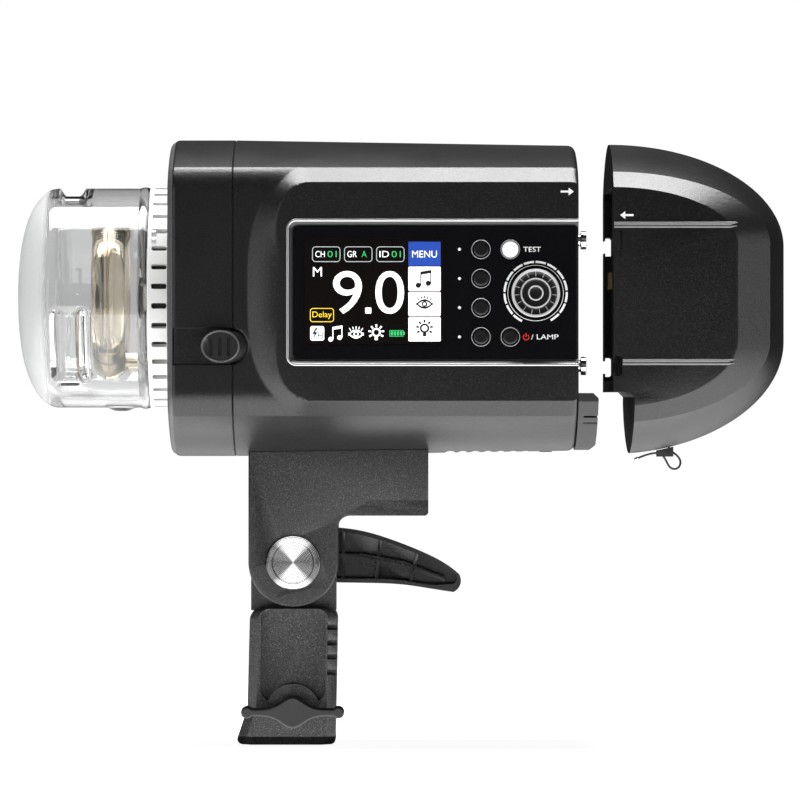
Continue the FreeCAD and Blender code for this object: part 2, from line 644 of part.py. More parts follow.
def battery_solid(inset=0.0, setback=0.0):
    steps = (-3, -2, -1, 0, 1, 2, 3)
    middle = [battery_outline(i * CREASE_HALF / 3, inset, setback) for i in steps]
    core = Part.makeLoft(middle, True, False)
    side = CHEEK_HALF - inset
    sides = [Part.makeLoft([battery_outline(s * CREASE_HALF, inset, setback),
                            battery_outline(s * side, inset, setback)], True, True)
             for s in (-1, 1)]
    return core.fuse(sides)


def stud_slot(sign, z):
    """Seat of one stud: open to the pocket in the front, with lips only in the outer wall."""
    x0 = BATTERY_X
    depth = STUD_SEAT
    pocket_y = (FRONT_POCKET[0], STUD_Y + STUD_HEAD_R + FACE_GAP)
    r = STUD_HEAD_R + FACE_GAP
    pocket = box(x0 - 1, x0 + depth, *pocket_y, at_axis(z) - r, at_axis(z) + r)
    lip = 0.8
    slot = box(x0 + lip, x0 + depth, pocket_y[1] - 1, CHEEK_HALF + 1, at_axis(z) - r,
               at_axis(z) + r)
    mouth_r = STUD_NECK_R + FACE_GAP
    mouth = box(x0 - 1, x0 + depth, pocket_y[1] - 1, CHEEK_HALF + 1, at_axis(z) - mouth_r,
                at_axis(z) + mouth_r)
    cut = pocket.fuse([slot, mouth])
    if sign < 0:
        cut = cut.mirror(V(0, 0, 0), Y_DIR)
    return cut


def front_pocket(grow):
    half, top, low = FRONT_POCKET
    return box(BATTERY_X - 1, BATTERY_X + BATTERY_RIM + 1, -half - grow, half + grow,
               at_axis(low - grow), at_axis(top + grow))


def battery_case():
    case = battery_solid()
    room = battery_solid(BATTERY_WALL, BATTERY_RIM)
    notch_x1 = BATTERY_X + NOTCH_LENGTH - BATTERY_SEAT_GAP + FACE_GAP
    notch = box(BATTERY_X - 1, notch_x1, -80, 80, 0, at_axis(NOTCH_TOP))
    wall = box(BATTERY_X - 1, notch_x1 + BATTERY_WALL, -80, 80, 0,
               at_axis(NOTCH_TOP) + BATTERY_WALL)
    case = case.cut(room.cut(wall)).cut(notch).cut(front_pocket(FIT_GAP))
    for sign in (-1, 1):
        for z in STUD_HEIGHTS:
            case = case.cut(stud_slot(sign, z))
        band = slab(rectangle(BATTERY_X - 9, BAND_REAR_X, at_axis(BAND_BOTTOM),
                              at_axis(BAND_TOP), 4.0),
                    sign * (CHEEK_HALF + 1), sign * (CHEEK_HALF - BAND_DEPTH))
        case = case.cut(band)
    eyelet = rod(V(EYELET_X, EYELET_Y, at_axis(BATTERY_BOTTOM) - 5), Z_DIR, 1.0, 14)
    return case.cut(eyelet)


def battery_ridges():
    """Two slim ribs on each side face that carry the line of the panel frame on."""
    ribs = []
    for z in (BAND_TOP + 1.7, BAND_BOTTOM - 1.7):
        rib = slab(rectangle(BATTERY_X + 0.6, BAND_REAR_X + 0.6, at_axis(z) - 1.1,
                             at_axis(z) + 1.1, 1.0), CHEEK_HALF, CHEEK_HALF + 0.6)
        for s in STUD_HEIGHTS:
            rib = rib.cut(stud_slot(1, s))
        ribs.extend(both_sides(rib))
    return group(ribs)


def battery_front_plate():
    half, top, low = FRONT_POCKET
    x0 = BATTERY_X + STUD_SEAT
    plate = box(x0, x0 + PLATE_THICK, -half, half, at_axis(low), at_axis(top))
    plate = plate.cut(rod(V(x0 - 1, 0, at_axis(LOCK_PIN_Z)), X_DIR, LOCK_PIN_R + 0.4, 6))
    return plate.cut(box(x0 - 1, x0 + 4, -16, 16, at_axis(0), at_axis(14)))


def cell_places():
    """Three columns of three cells lying across the battery, behind its board."""
    pitch = 2 * CELL_R + 0.3
    return [(BATTERY_X + BATTERY_RIM + 2.1 + CELL_R + column * pitch, 1.3 + row * pitch)
            for column in range(3) for row in (-1, 0, 1)]


def head_contacts():
    """Contact block flush in the rear face, with a shallow seat for each battery blade."""
    block = box(REAR_X - 7, REAR_X - 0.1, -14, 14, at_axis(2), at_axis(12))
    return block.cut(contact_blades(REAR_X - 1, REAR_X + 3, 3.5, 10.5))


def contact_blades(x0, x1, z0, z1):
    return group([box(x0, x1, y - 0.4, y + 0.4, at_axis(z0), at_axis(z1))
                  for y in (-10, -5, 5, 10)])


# ---- tether under the battery ---------------------------------------------------------------
def tether_path():
    """Straight runs between the points, joined by arcs as large as the runs allow."""
    points = [V(*p) for p in CORD_POINTS]
    edges = []
    here = points[0]
    length = 0.0
    radii = []
    for before, corner, after in zip(points, points[1:], points[2:]):
        back = before - corner
        ahead = after - corner
        half = back.getAngle(ahead) / 2
        reach = 0.45 * min(back.Length, ahead.Length)
        radius = reach * math.tan(half)
        back.normalize()
        ahead.normalize()
        bisector = back + ahead
        bisector.normalize()
        start = corner + back * reach
        end = corner + ahead * reach
        middle = corner + bisector * (radius / math.sin(half) - radius)
        edges.append(line(here, start))
        edges.append(arc(start, middle, end))
        length += edges[-2].Length + edges[-1].Length
        radii.append(radius)
        here = end
    edges.append(line(here, points[-1]))
    length += edges[-1].Length
    return Part.Wire(edges), length, radii


def tether_cord():
    path, length, radii = tether_path()
    first = V(*CORD_POINTS[0])
    direction = V(*CORD_POINTS[1]) - first
    disc = Part.Wire(Part.makeCircle(CORD_R, first, direction))
    tube = path.makePipeShell([disc], True, True)
    print("tether length %.2f mm, volume ratio %.4f" %
          (length, tube.Volume / (math.pi * CORD_R ** 2 * length)))
    print("tether radii", ["%.2f" % r for r in radii])
    return tube


def tether_saddle():
    """The low anchor under the battery: a blind eyelet, and a guide that the cord runs through."""
    low = 117.0
    block = box(148.6, 155.4, -3.0, 3.0, low, low + 8)
    block = block.cut(battery_solid())
    path, _, _ = tether_path()
    first = V(*CORD_POINTS[0])
    direction = V(*CORD_POINTS[1]) - first
    disc = Part.Wire(Part.makeCircle(CORD_R + 0.15, first, direction))
    return block.cut(path.makePipeShell([disc], True, True))


def tether_ferrule():
    end = V(*CORD_POINTS[-1])
    direction = V(*CORD_POINTS[-1]) - V(*CORD_POINTS[-2])
    direction.normalize()
    return rod(end, direction, CORD_R + 0.22, 1.6)


# ---- dome, vent ring, flash tube -------------------------------------------------------------
def turned(profile, closed_axis=True):
    """A solid turned about the optical axis from (x, radius) points."""
    points = [V(x, 0, AXIS_Z + r) for x, r in profile]
    if closed_axis:
        points.append(points[0])
    face = Part.Face(Part.makePolygon(points))
    return face.revolve(V(0, 0, AXIS_Z), X_DIR, 360)


def dome_shape(inset):
    """Outer (or, inset, inner) form of the dome: a shallow crown, a round shoulder, a wall."""
    front = DOME_FRONT_X + inset
    radius = DOME_R - inset
    shoulder = DOME_CAP_DEPTH
    rear = VENT_FRONT_X + 9
    crown_x = front + DOME_CROWN
    shoulder_r = radius - shoulder * 0.9
    centre = V(front, 0, AXIS_Z)
    top = V(crown_x * 0.45 + front * 0.55, 0, AXIS_Z + shoulder_r * 0.66)
    knee = V(crown_x, 0, AXIS_Z + shoulder_r)
    wall = V(crown_x + shoulder, 0, AXIS_Z + radius)
    bend = Part.BezierCurve()
    bend.setPoles([knee, V(crown_x + shoulder * 0.30, 0, AXIS_Z + radius - 1.0),
                   V(crown_x + shoulder * 0.42, 0, AXIS_Z + radius), wall])
    edges = [arc(centre, top, knee), bend.toShape(), line(wall, V(rear, 0, AXIS_Z + radius)),
             line(V(rear, 0, AXIS_Z + radius), V(rear, 0, AXIS_Z)), line(V(rear, 0, AXIS_Z), centre)]
    return Part.Face(Part.Wire(edges)).revolve(V(0, 0, AXIS_Z), X_DIR, 360)


def dimple(angle, grow):
    """An oblong finger dimple pressed into the dome's wall."""
    a = math.radians(angle)
    out = V(0, math.cos(a), math.sin(a))
    along = V(0, -math.sin(a), math.cos(a))
    depth = DIMPLE_DEPTH - grow
    radius = DIMPLE_LENGTH / 2 - grow
    reach = 13.0
    base = V(DIMPLE_X, 0, AXIS_Z) + out * (DOME_R - depth)
    rods = [rod(base + along * t, out, radius, 20) for t in (-reach, reach)]
    span = Part.makeBox(2 * radius, 2 * reach, 20)
    span.translate(V(-radius, -reach, 0))
    frame = FreeCAD.Placement(base, FreeCAD.Rotation(X_DIR, along * -1, out, "XYZ"))
    span.Placement = frame.multiply(span.Placement)
    return rods[0].fuse([rods[1], span]).removeSplitter()


def glass_dome():
    outer = dome_shape(0.0)
    inner = dome_shape(DOME_WALL)
    for angle in DIMPLE_ANGLES:
        outer = outer.cut(dimple(angle, 0.0))
        inner = inner.cut(dimple(angle, -DOME_WALL * 0.8))
    bead_x = VENT_FRONT_X - 2.4
    bead = turned([(bead_x - 1.6, DOME_R - 1), (bead_x - 1.6, DOME_R + 0.5),
                   (bead_x + 1.6, DOME_R + 0.5), (bead_x + 1.6, DOME_R - 1)])
    neck_r = VENT_R - VENT_WALL - FACE_GAP
    step = turned([(VENT_FRONT_X - FACE_GAP, neck_r), (VENT_FRONT_X - FACE_GAP, DOME_R + 2),
                   (VENT_FRONT_X + 12, DOME_R + 2), (VENT_FRONT_X + 12, neck_r)])
    bore = rod(V(VENT_FRONT_X - 6, 0, AXIS_Z), X_DIR, neck_r - DOME_WALL, 30)
    pip = Part.makeSphere(3.4, V(-66.5, 0, AXIS_Z - DOME_R + 1.8))
    return outer.fuse([bead, pip]).cut(step).cut(inner).cut(bore)


def vent_ring():
    length = FLOOR_X - VENT_FRONT_X
    ring = pipe(V(VENT_FRONT_X, 0, AXIS_Z), X_DIR, VENT_R, VENT_R - VENT_WALL, length)
    for i in range(VENT_SLOTS):
        cutter = box(VENT_FRONT_X + 1.4, FRONT_X - 1.2, -VENT_SLOT_W / 2, VENT_SLOT_W / 2,
                     VENT_R - VENT_WALL - 1, VENT_R + 1)
        cutter.rotate(V(0, 0, 0), X_DIR, i * 360 / VENT_SLOTS + 5)
        cutter.translate(V(0, 0, AXIS_Z))
        ring = ring.cut(cutter)
    return ring


def reflector_plate():
    x1 = FLOOR_X - REFLECTOR_BACK
    radius = VENT_R - VENT_WALL - DOME_WALL - 2 * FACE_GAP - 0.4
    thick = REFLECTOR_THICK
    profile = [(x1, 0), (x1, radius - 9), (x1 - 3.4, radius), (x1 - 3.4 - thick, radius),
               (x1 - thick, radius - 9.4), (x1 - thick, 0)]
    dish = turned(profile)
    x1 = FLOOR_X
    for y, z in tube_leg_places():
        dish = dish.cut(rod(V(x1 - 10, y, z), X_DIR, LEG_OD / 2 + 0.6, 12))
    return dish.cut(rod(V(x1 - 10, 0, AXIS_Z), X_DIR, LAMP_R + FIT_GAP, 12))


def tube_leg_places():
    """Where the two ends of the C bend back into legs."""
    places = []
    for sign in (-1, 1):
        a = math.radians(-90 + sign * TUBE_GAP_ANGLE / 2)
        places.append((TUBE_RING_R * math.cos(a), AXIS_Z + TUBE_RING_R * math.sin(a)))
    return places


def c_ring(x, radius, section_r, gap_angle):
    """A C-shaped ring across the optical axis, open at its lower side."""
    sweep = 360 - gap_angle
    ring = Part.makeTorus(radius, section_r, V(0, 0, 0), Z_DIR, -180, 180, sweep)
    ring.rotate(V(0, 0, 0), Z_DIR, -90 + gap_angle / 2)
    turn = FreeCAD.Placement(V(x, 0, AXIS_Z), FreeCAD.Rotation(Y_DIR, Z_DIR, X_DIR, "XYZ"))
    ring.Placement = turn.multiply(ring.Placement)
    return ring


def flash_tube():
    leg_x1 = FLOOR_X - LEG_SETBACK
    tube = c_ring(TUBE_X, TUBE_RING_R, TUBE_OD / 2, TUBE_GAP_ANGLE)
    bore = c_ring(TUBE_X, TUBE_RING_R, TUBE_BORE / 2, TUBE_GAP_ANGLE)
    for y, z in tube_leg_places():
        ball = Part.makeSphere(TUBE_OD / 2, V(TUBE_X, y, z))
        leg = rod(V(TUBE_X, y, z), X_DIR, LEG_OD / 2, leg_x1 - TUBE_X)
        tube = tube.fuse([ball, leg])
    return tube.cut(bore).removeSplitter()


def tube_electrodes():
    rods = []
    for y, z in tube_leg_places():
        rods.append(rod(V(FLOOR_X - LEG_SETBACK, y, z), X_DIR, ELECTRODE_R, LEG_SETBACK + 1))
    return group(rods)


def trigger_wire():
    """A fine wire wound round the top of the tube in a few open turns."""
    turns = []
    for i in range(-4, 5):
        a = math.radians(90 + i * 4.5)
        centre = V(TUBE_X, TUBE_RING_R * math.cos(a), AXIS_Z + TUBE_RING_R * math.sin(a))
        along = V(0, -math.sin(a), math.cos(a))
        turns.append(Part.makeTorus(TUBE_OD / 2 + 0.45, 0.3, centre, along))
    return group(turns)


def modelling_lamp():
    face = V(FLOOR_X + 1 - LAMP_LENGTH, 0, AXIS_Z)
    base = rod(face, X_DIR, LAMP_R, LAMP_LENGTH)
    dome = Part.makeSphere(LENS_R, face)
    return base, dome.cut(rod(face, X_DIR, LENS_R + 1, LENS_R + 1))


def tube_socket():
    x0 = FLOOR_X - REFLECTOR_BACK + 0.2
    block = rod(V(x0, 0, AXIS_Z), X_DIR, TUBE_RING_R + 6, 9)
    block = block.fuse(rod(V(x0 + 4.5, 0, AXIS_Z), X_DIR, TUBE_RING_R + 12, 2.0)).removeSplitter()
    for y, z in tube_leg_places():
        block = block.cut(rod(V(x0 - 1, y, z), X_DIR, ELECTRODE_R + FIT_GAP, 4.2))
    return block.cut(rod(V(x0 - 1, 0, AXIS_Z), X_DIR, LAMP_R + FIT_GAP, 4.4))


def bayonet_ring():
    ring = pipe(V(FRONT_X, 0, AXIS_Z), X_DIR, BAYONET_RING_R, BAYONET_MOUTH_R, BAYONET_THICK)
    for i in range(3):
        wedge = Part.makeCylinder(BAYONET_LUG_R, BAYONET_THICK + 2, V(0, 0, 0), Z_DIR,
                                  BAYONET_LUG_ANGLE)
        wedge.rotate(V(0, 0, 0), Z_DIR, 90 - BAYONET_LUG_ANGLE / 2 + i * 120)
        turn = FreeCAD.Placement(V(FRONT_X - 1, 0, AXIS_Z),
                                 FreeCAD.Rotation(Y_DIR, Z_DIR, X_DIR, "XYZ"))
        wedge.Placement = turn.multiply(wedge.Placement)
        ring = ring.cut(wedge)
    return ring


# ---- lock slider ---------------------------------------------------------------------------------
def ellipse_wire(x, y, z, a, b, tilt):
    curve = Part.Ellipse(V(0, 0, 0), a, b)
    wire = Part.Wire(curve.toShape())
    turn = FreeCAD.Rotation(X_DIR, Z_DIR, V(0, -1, 0), "XYZ")
    lean = FreeCAD.Rotation(Z_DIR, tilt)
    wire.Placement = FreeCAD.Placement(V(x, y, z), lean.multiply(turn))
    return wire


def lock_slider():
    z = at_axis(SLIDER_Z)
    knob = Part.makeLoft([
        ellipse_wire(KNOB_FOOT[0], -SIDE_HALF + CHANNEL_DEPTH - FACE_GAP, z, *KNOB_FOOT[1:], 0),
        ellipse_wire(SLIDER_X, -SIDE_HALF - SLIDER_PROUD, z, *KNOB_FACE, -KNOB_LEAN)], True, True)
    for x in GROOVE_XS:
        depth = SIDE_HALF + SLIDER_PROUD - 0.8 - (x - SLIDER_X) * 0.15
        knob = knob.cut(box(x - 0.5, x + 0.5, -CHEEK_HALF - 5, -depth, z - 3.4, z + 3.4))
    inside = -SIDE_HALF + SHELL + STEM_LAP * 2
    stem = box(STEM_X0, STEM_X1, -SIDE_HALF + CHANNEL_DEPTH - 1, inside + STEM_LAP,
               z - STEM_HALF, z + STEM_HALF)
    carriage = box(CARRIAGE_X0, CARRIAGE_X1, inside, -LOCK_Y + LUG_PIN_R + 0.75,
                   z - CARRIAGE_HALF, z + CARRIAGE_HALF)
    return knob.fuse([stem, carriage]).removeSplitter()


def lock_pin():
    tip_x = FLOOR_X + 0.4
    place = V(tip_x, -LOCK_Y, at_axis(SLIDER_Z))
    return rod(place, X_DIR, LUG_PIN_R, CARRIAGE_X0 - tip_x)


# ---- insides of the head ------------------------------------------------------------------------
def capacitor_bank():
    cans = []
    for y in (-19, 19):
        for z in (-24, 18):
            can = rod(V(SEAM_X + 8, y, at_axis(z)), X_DIR, 17.5, 66)
            cans.append(can)
    return group(cans)


def fan_frame():
    z = at_axis(FAN_AXIS)
    frame = box(FAN_X, FAN_X + FAN_THICK, -FAN_HALF, FAN_HALF, z - FAN_HALF, z + FAN_HALF)
    frame = frame.cut(rod(V(FAN_X - 1, 0, z), X_DIR, FAN_BORE_R, FAN_THICK + 2))
    x0 = FAN_X + FAN_THICK - 2.5
    x1 = FAN_X + FAN_THICK
    arm = FAN_HALF - 1
    hub = rod(V(x0, 0, z), X_DIR, 8, x1 - x0)
    arms = box(x0, x1, -arm, arm, z - 1.5, z + 1.5)
    uprights = box(x0, x1, -1.5, 1.5, z - arm, z + arm)
    return frame.fuse([hub, arms, uprights]).removeSplitter()


def fan_rotor():
    x0 = FAN_X + 1.5
    hub = rod(V(x0, 0, at_axis(FAN_AXIS)), X_DIR, 9, 7.4)
    blades = []
    for i in range(7):
        blade = box(0, 6.2, -0.7, 0.7, 8, FAN_BORE_R - 1)
        blade.rotate(V(3, 0, 0), Z_DIR, 32)
        blade.rotate(V(0, 0, 0), X_DIR, i * 360 / 7)
        blade.translate(V(x0 + 0.6, 0, at_axis(FAN_AXIS)))
        blades.append(blade)
    return hub.fuse(blades).removeSplitter()


def heat_sink():
    x0 = FRONT_X + 29.9
    base = box(x0 - 14, x0 - 11, -28, 28, at_axis(-24), at_axis(24))
    fins = [box(x0 - 11.2, x0 + 4, y - 0.8, y + 0.8, at_axis(-24), at_axis(24))
            for y in range(-27, 28, 6)]
    return base.fuse(fins).removeSplitter()


def board(x0, x1, y0, y1, z0, z1, blocks):
    """A circuit board with the given component blocks standing on it."""
    plate = box(x0, x1, y0, y1, at_axis(z0), at_axis(z1))
    parts = [box(*b[:4], at_axis(b[4]), at_axis(b[5])) for b in blocks]
    return plate.fuse(parts).removeSplitter()


def power_board():
    x0 = SEAM_X + 8
    blocks = [(x0 + 12, x0 + 34, 45.9, 50, -20, 0), (x0 + 44, x0 + 60, 45.9, 49, 6, 22)]
    return board(x0, x0 + 84, 44.3, 46, -34, 34, blocks)


def control_board():
    back = -BOARD_Y + BOARD_THICK
    blocks = [(KEY_X - 6, KEY_X + 14, back - 0.1, back + 2, -12, 6)]
    return board(LCD_X1 + 0.6, REAR_X - 6, -BOARD_Y, back, -22.5, 23, blocks)


# ---- bracket -----------------------------------------------------------------------------------
def upper_bracket():
    """Clevis cheeks with round lower ends under a long foot that bolts to the housing's keel."""
    foot = slab([(-CHEEK_END_R, FOOT_Z0, 0.01), (FOOT_REAR_X, FOOT_Z0, 1.6),
                 (FOOT_REAR_X, FOOT_Z1 + 6, 0.01), (-CHEEK_END_R, FOOT_Z1 + 6, 0.01)],
                -BRACKET_HALF, BRACKET_HALF)
    upright = box(-CHEEK_END_R, CHEEK_END_R, -BRACKET_HALF, BRACKET_HALF, PIVOT_Z, FOOT_Z0 + 1)
    end = rod(V(0, -BRACKET_HALF, PIVOT_Z), Y_DIR, CHEEK_END_R, 2 * BRACKET_HALF)
    web = box(CHEEK_END_R - 1, CHEEK_END_R + 5, -BRACKET_HALF, BRACKET_HALF, FOOT_Z0 - 5,
              FOOT_Z0 + 1)
    web = web.cut(rod(V(CHEEK_END_R + 5, -BRACKET_HALF - 1, FOOT_Z0 - 5), Y_DIR, 5,
                      2 * BRACKET_HALF + 2))
    body = foot.fuse([upright, end, web]).removeSplitter()
    rims = [e for e in body.Edges if abs(abs(e.BoundBox.Center.y) - BRACKET_HALF) < 0.01
            and e.BoundBox.YLength < 0.01 and e.BoundBox.ZMin < FOOT_Z1 + 5.9]
    body = body.makeFillet(0.7, rims)
    for y in (-BRACKET_HALF, BRACKET_HALF):
        sign = 1 if y > 0 else -1
        ledge = slab([(21.8, FOOT_Z0 - 4, 0.01), (FOOT_REAR_X + 4, FOOT_Z0 - 4, 0.01),
                      (FOOT_REAR_X + 4, FOOT_Z0 + 6.4, 0.01), (30, FOOT_Z0 + 6.4, 6)],
                     y + sign, y - sign * 2.0)
        body = body.cut(ledge)
    body = body.cut(box(-CHEEK_END_R - 20, CHEEK_END_R + 12, -SLOT_HALF, SLOT_HALF,
                        PIVOT_Z - 30, FOOT_Z0 - 0.5))
    keel = Part.makeLoft([plain_section(SEAM_X, HEAD_TOP, HEAD_BOTTOM, -FIT_GAP),
                          plain_section(REAR_X, REAR_TOP, REAR_BOTTOM, -FIT_GAP)], True, True)
    body = body.cut(keel)
    body = body.cut(rod(V(0, -40, PIVOT_Z), Y_DIR, BOLT_R + RUN_GAP, 80))
    body = body.cut(rod(V(0, -40, PIVOT_Z), Y_DIR, BOLT_HEAD_R + FIT_GAP, 40 - BRACKET_HALF + 1.8))
    for place in foot_screw_places():
        body = body.cut(rod(place - Z_DIR * 6, Z_DIR, 4.1, 8.5))
        body = body.cut(rod(place, Z_DIR, 2.1, 40))
    return body


def foot_screw_places():
    """Seats of the screw heads, up inside the foot."""
    return [V(x, y, FOOT_Z0) for x in (28.3, 48.2) for y in (-12.8, 12.8)]


def pivot_bolt():
    head = rod(V(0, -BRACKET_HALF - 1.2, PIVOT_Z), Y_DIR, BOLT_HEAD_R, 3.0 - FIT_GAP)
    ring = pipe(V(0, -BRACKET_HALF - 2.2, PIVOT_Z), Y_DIR, 8.6, 8.0, 1.4)
    shank = rod(V(0, -BRACKET_HALF, PIVOT_Z), Y_DIR, BOLT_R, BRACKET_HALF + LEVER_Y0 + 9.6)
    return head.cut(ring).fuse(shank).removeSplitter()


def pivot_washers():
    washer = pipe(V(0, TONGUE_HALF + 0.05, PIVOT_Z), Y_DIR, 15, BOLT_R + 0.5, WASHER_THICK)
    return group(both_sides(washer))


def lever_face(inset):
    """Side view of the lever's blade, or, inset, of its hollow."""
    tip_x = LEVER_LENGTH - 1.0 - inset
    upper_points = [(0, 13.0), (18.4, 13.1), (28, 11.7), (40.4, 8.0), (53, 3.0),
                    (61.3, -1.2), (tip_x, -6.2 + inset)]
    lower_points = [(tip_x - 2.5, -13.4 + inset), (57.0, -12.1), (44.6, -10.3), (28, -9.6),
                    (16, -9.4), (0, -9.0)]
    upper = Part.BSplineCurve()
    upper.interpolate([V(x, LEVER_Y0, PIVOT_Z + z - inset) for x, z in upper_points])
    lower = Part.BSplineCurve()
    lower.interpolate([V(x, LEVER_Y0, PIVOT_Z + z + inset) for x, z in lower_points])
    tip_a = upper.EndPoint
    tip_b = lower.StartPoint
    tip_m = (tip_a + tip_b) * 0.5 + V(1.6, 0, -0.6)
    return Part.Face(Part.Wire([upper.toShape(), arc(tip_a, tip_m, tip_b), lower.toShape(),
                                line(lower.EndPoint, upper.StartPoint)]))


def tilt_lever():
    """A hollow-backed, curved lever with cross ribs; its hub turns on the pivot bolt."""
    blade = lever_face(0.0).extrude(V(0, LEVER_DEPTH, 0))
    hollow = lever_face(1.7).extrude(V(0, LEVER_DEPTH - 1.0, 0))
    hollow.translate(V(0, -1, 0))
    for x, lean in ((20, 0), (34.5, 6), (50, 12)):
        rib = box(-0.7, 0.7, 1.2, LEVER_DEPTH, -30, 30)
        rib.rotate(V(0, 0, 0), Y_DIR, lean)
        rib.translate(V(x, LEVER_Y0, PIVOT_Z))
        hollow = hollow.cut(rib)
    spine = [(10, 1.0), (28, 0.8), (45, -2.2), (62, -8.8), (62, -7.2), (45, -0.6), (28, 2.4),
             (10, 2.6)]
    middle_rib = slab([(x, PIVOT_Z + z, 0) for x, z in spine], LEVER_Y0 + 1.2,
                      LEVER_Y0 + LEVER_DEPTH)
    blade = blade.cut(hollow.cut(middle_rib))
    hub = rod(V(0, LEVER_Y0, PIVOT_Z), Y_DIR, 13.6, 11.5)
    bore = rod(V(0, LEVER_Y0 - 1, PIVOT_Z), Y_DIR, BOLT_R + RUN_GAP, 11)
    return blade.fuse(hub).cut(bore)


def adapter_outline(y, inset):
    corners = [(FLARE_LEFT + inset, 0, 2.2), (ADAPTER_RIGHT - 0.8 - inset, 0, 2.2),
               (ADAPTER_RIGHT - inset, SHOULDER_Z, 4.6), (ADAPTER_LEFT + inset, SHOULDER_Z, 4.6),
               (ADAPTER_LEFT - 1.1 + inset, FLARE_Z, 6)]
    return rounded_wire(corners, side_plane(y))


def stand_adapter():
    """Lower bracket: a tongue into the clevis, a shaped grip block and the stud socket."""
    block = Part.makeLoft([adapter_outline(y, inset) for y, inset in (
        (-BRACKET_HALF, FACET), (FACET - BRACKET_HALF, 0), (BRACKET_HALF - FACET, 0),
        (BRACKET_HALF, FACET))], True, True)
    tongue = rod(V(0, -TONGUE_HALF, PIVOT_Z), Y_DIR, 17.4, 2 * TONGUE_HALF)
    stem = box(-17.4, 17.4, -TONGUE_HALF, TONGUE_HALF, SHOULDER_Z - 1, PIVOT_Z)
    body = block.fuse([tongue, stem])
    pocket = slab([(-13.0, 17.5, 5), (13.2, 17.5, 5), (13.2, SHOULDER_Z - 1.2, 1.5),
                   (-13.0, SHOULDER_Z - 1.2, 1.5)], -BRACKET_HALF - 1, -BRACKET_HALF + 4.6)
    boss = rod(V(0, -BRACKET_HALF, CLAMP_Z), Y_DIR, 11.0, 8)
    body = body.cut(pocket.cut(boss))
    far_pocket = slab(rectangle(-13.0, 13.2, 8, SHOULDER_Z - 1.2, 2), BRACKET_HALF - 4.0,
                      BRACKET_HALF + 1)
    body = body.cut(far_pocket)
    for z in (47.7, 41.4, 35.7, 29.4):
        body = body.cut(box(ADAPTER_RIGHT - 4.2, ADAPTER_RIGHT + 1, -BRACKET_HALF - 1,
                            BRACKET_HALF + 1, z - 1.05, z + 1.05)
                        .cut(box(-30, 30, -12, 12, z - 3, z + 3)))
    body = body.cut(rod(V(0, 0, -1), Z_DIR, SOCKET_R, SOCKET_DEPTH + 1))
    body = body.cut(rod(V(0, -BRACKET_HALF - 1, CLAMP_Z), Y_DIR, CLAMP_R + RUN_GAP,
                        BRACKET_HALF + 1 - SOCKET_R + 3))
    return body.cut(rod(V(0, -40, PIVOT_Z), Y_DIR, BOLT_R + RUN_GAP, 80))


def clamp_pad():
    return rod(V(0, CLAMP_TIP_Y - PAD_LENGTH, CLAMP_Z), Y_DIR, CLAMP_R - 0.4, PAD_LENGTH)


def clamp_screw():
    rear = CLAMP_TIP_Y - PAD_LENGTH - 0.1
    return rod(V(0, WING_Y1 - 6, CLAMP_Z), Y_DIR, CLAMP_R, rear - WING_Y1 + 6)


def wing_knob():
    """Two slim wings with round ends that swell into the hub."""
    half = [(-18.5, 2.45), (-14.5, 2.2), (-10.5, 2.6), (-7.0, 4.2), (-3.6, 6.2), (0, 6.8),
            (3.6, 6.2), (7.0, 4.2), (10.5, 2.6), (14.5, 2.2), (18.5, 2.45)]
    upper = Part.BSplineCurve()
    upper.interpolate([V(x, WING_Y0, CLAMP_Z + z) for x, z in half])
    lower = Part.BSplineCurve()
    lower.interpolate([V(-x, WING_Y0, CLAMP_Z - z) for x, z in half])
    ends = [arc(V(s * 18.5, WING_Y0, CLAMP_Z + s * 2.45), V(s * WING_HALF, WING_Y0, CLAMP_Z),
                V(s * 18.5, WING_Y0, CLAMP_Z - s * 2.45)) for s in (1, -1)]
    wire = Part.Wire([upper.toShape(), ends[0], lower.toShape(), ends[1]])
    wings = Part.Face(wire).extrude(V(0, WING_Y1 - WING_Y0, 0))
    collar = rod(V(0, WING_Y1 - 1, CLAMP_Z), Y_DIR, 6.3, 3.0)
    body = wings.fuse(collar)
    return body.cut(rod(V(0, WING_Y1 - 6, CLAMP_Z), Y_DIR, CLAMP_R, 20))


# ---- far side ---------------------------------------------------------------------------------
def side_panel():
    """Plain cover of the far cheek with vent slots and two socket openings."""
    plate = panel_plate(1)
    for i in range(9):
        x = 14 + i * 5.4
        plate = plate.cut(slab(rectangle(x, x + 2.6, at_axis(-16), at_axis(18), 1.2),
                               RECESS_Y - 2, CHEEK_HALF + 2))
    for x, z, r in socket_places():
        plate = plate.cut(rod(V(x, RECESS_Y - 2, at_axis(z)), Y_DIR, r + FIT_GAP, 6))
    return plate


def socket_places():
    return [(KEY_X + 4, 10.0, 4.0), (KEY_X + 4, -8.0, 4.0)]


def side_sockets():
    sockets = []
    for x, z, r in socket_places():
        sockets.append(pipe(V(x, BOARD_Y - 7, at_axis(z)), Y_DIR, r, 1.75,
                            PANEL_FACE_Y + 7 - BOARD_Y))
    return group(sockets)


def port_cover():
    """Rubber flap over the data port at the rear of the far cheek."""
    x0 = REAR_X - 25
    flap = slab(rectangle(x0, x0 + 15, at_axis(-9), at_axis(12), 2.5), PANEL_FACE_Y + 0.05,
                PANEL_FACE_Y + 1.4)
    return flap


def release_button():
    top = at_axis(HEAD_BOTTOM) + SHELL + 3.6
    z0 = at_axis(REAR_BOTTOM) - 0.5
    plunger = rod(V(BUTTON_X, 0, z0), Z_DIR, BUTTON_R, top - z0)
    flange = rod(V(BUTTON_X, 0, top - 1), Z_DIR, BUTTON_R + 1.2, 1.0)
    return plunger.fuse(flange).removeSplitter()


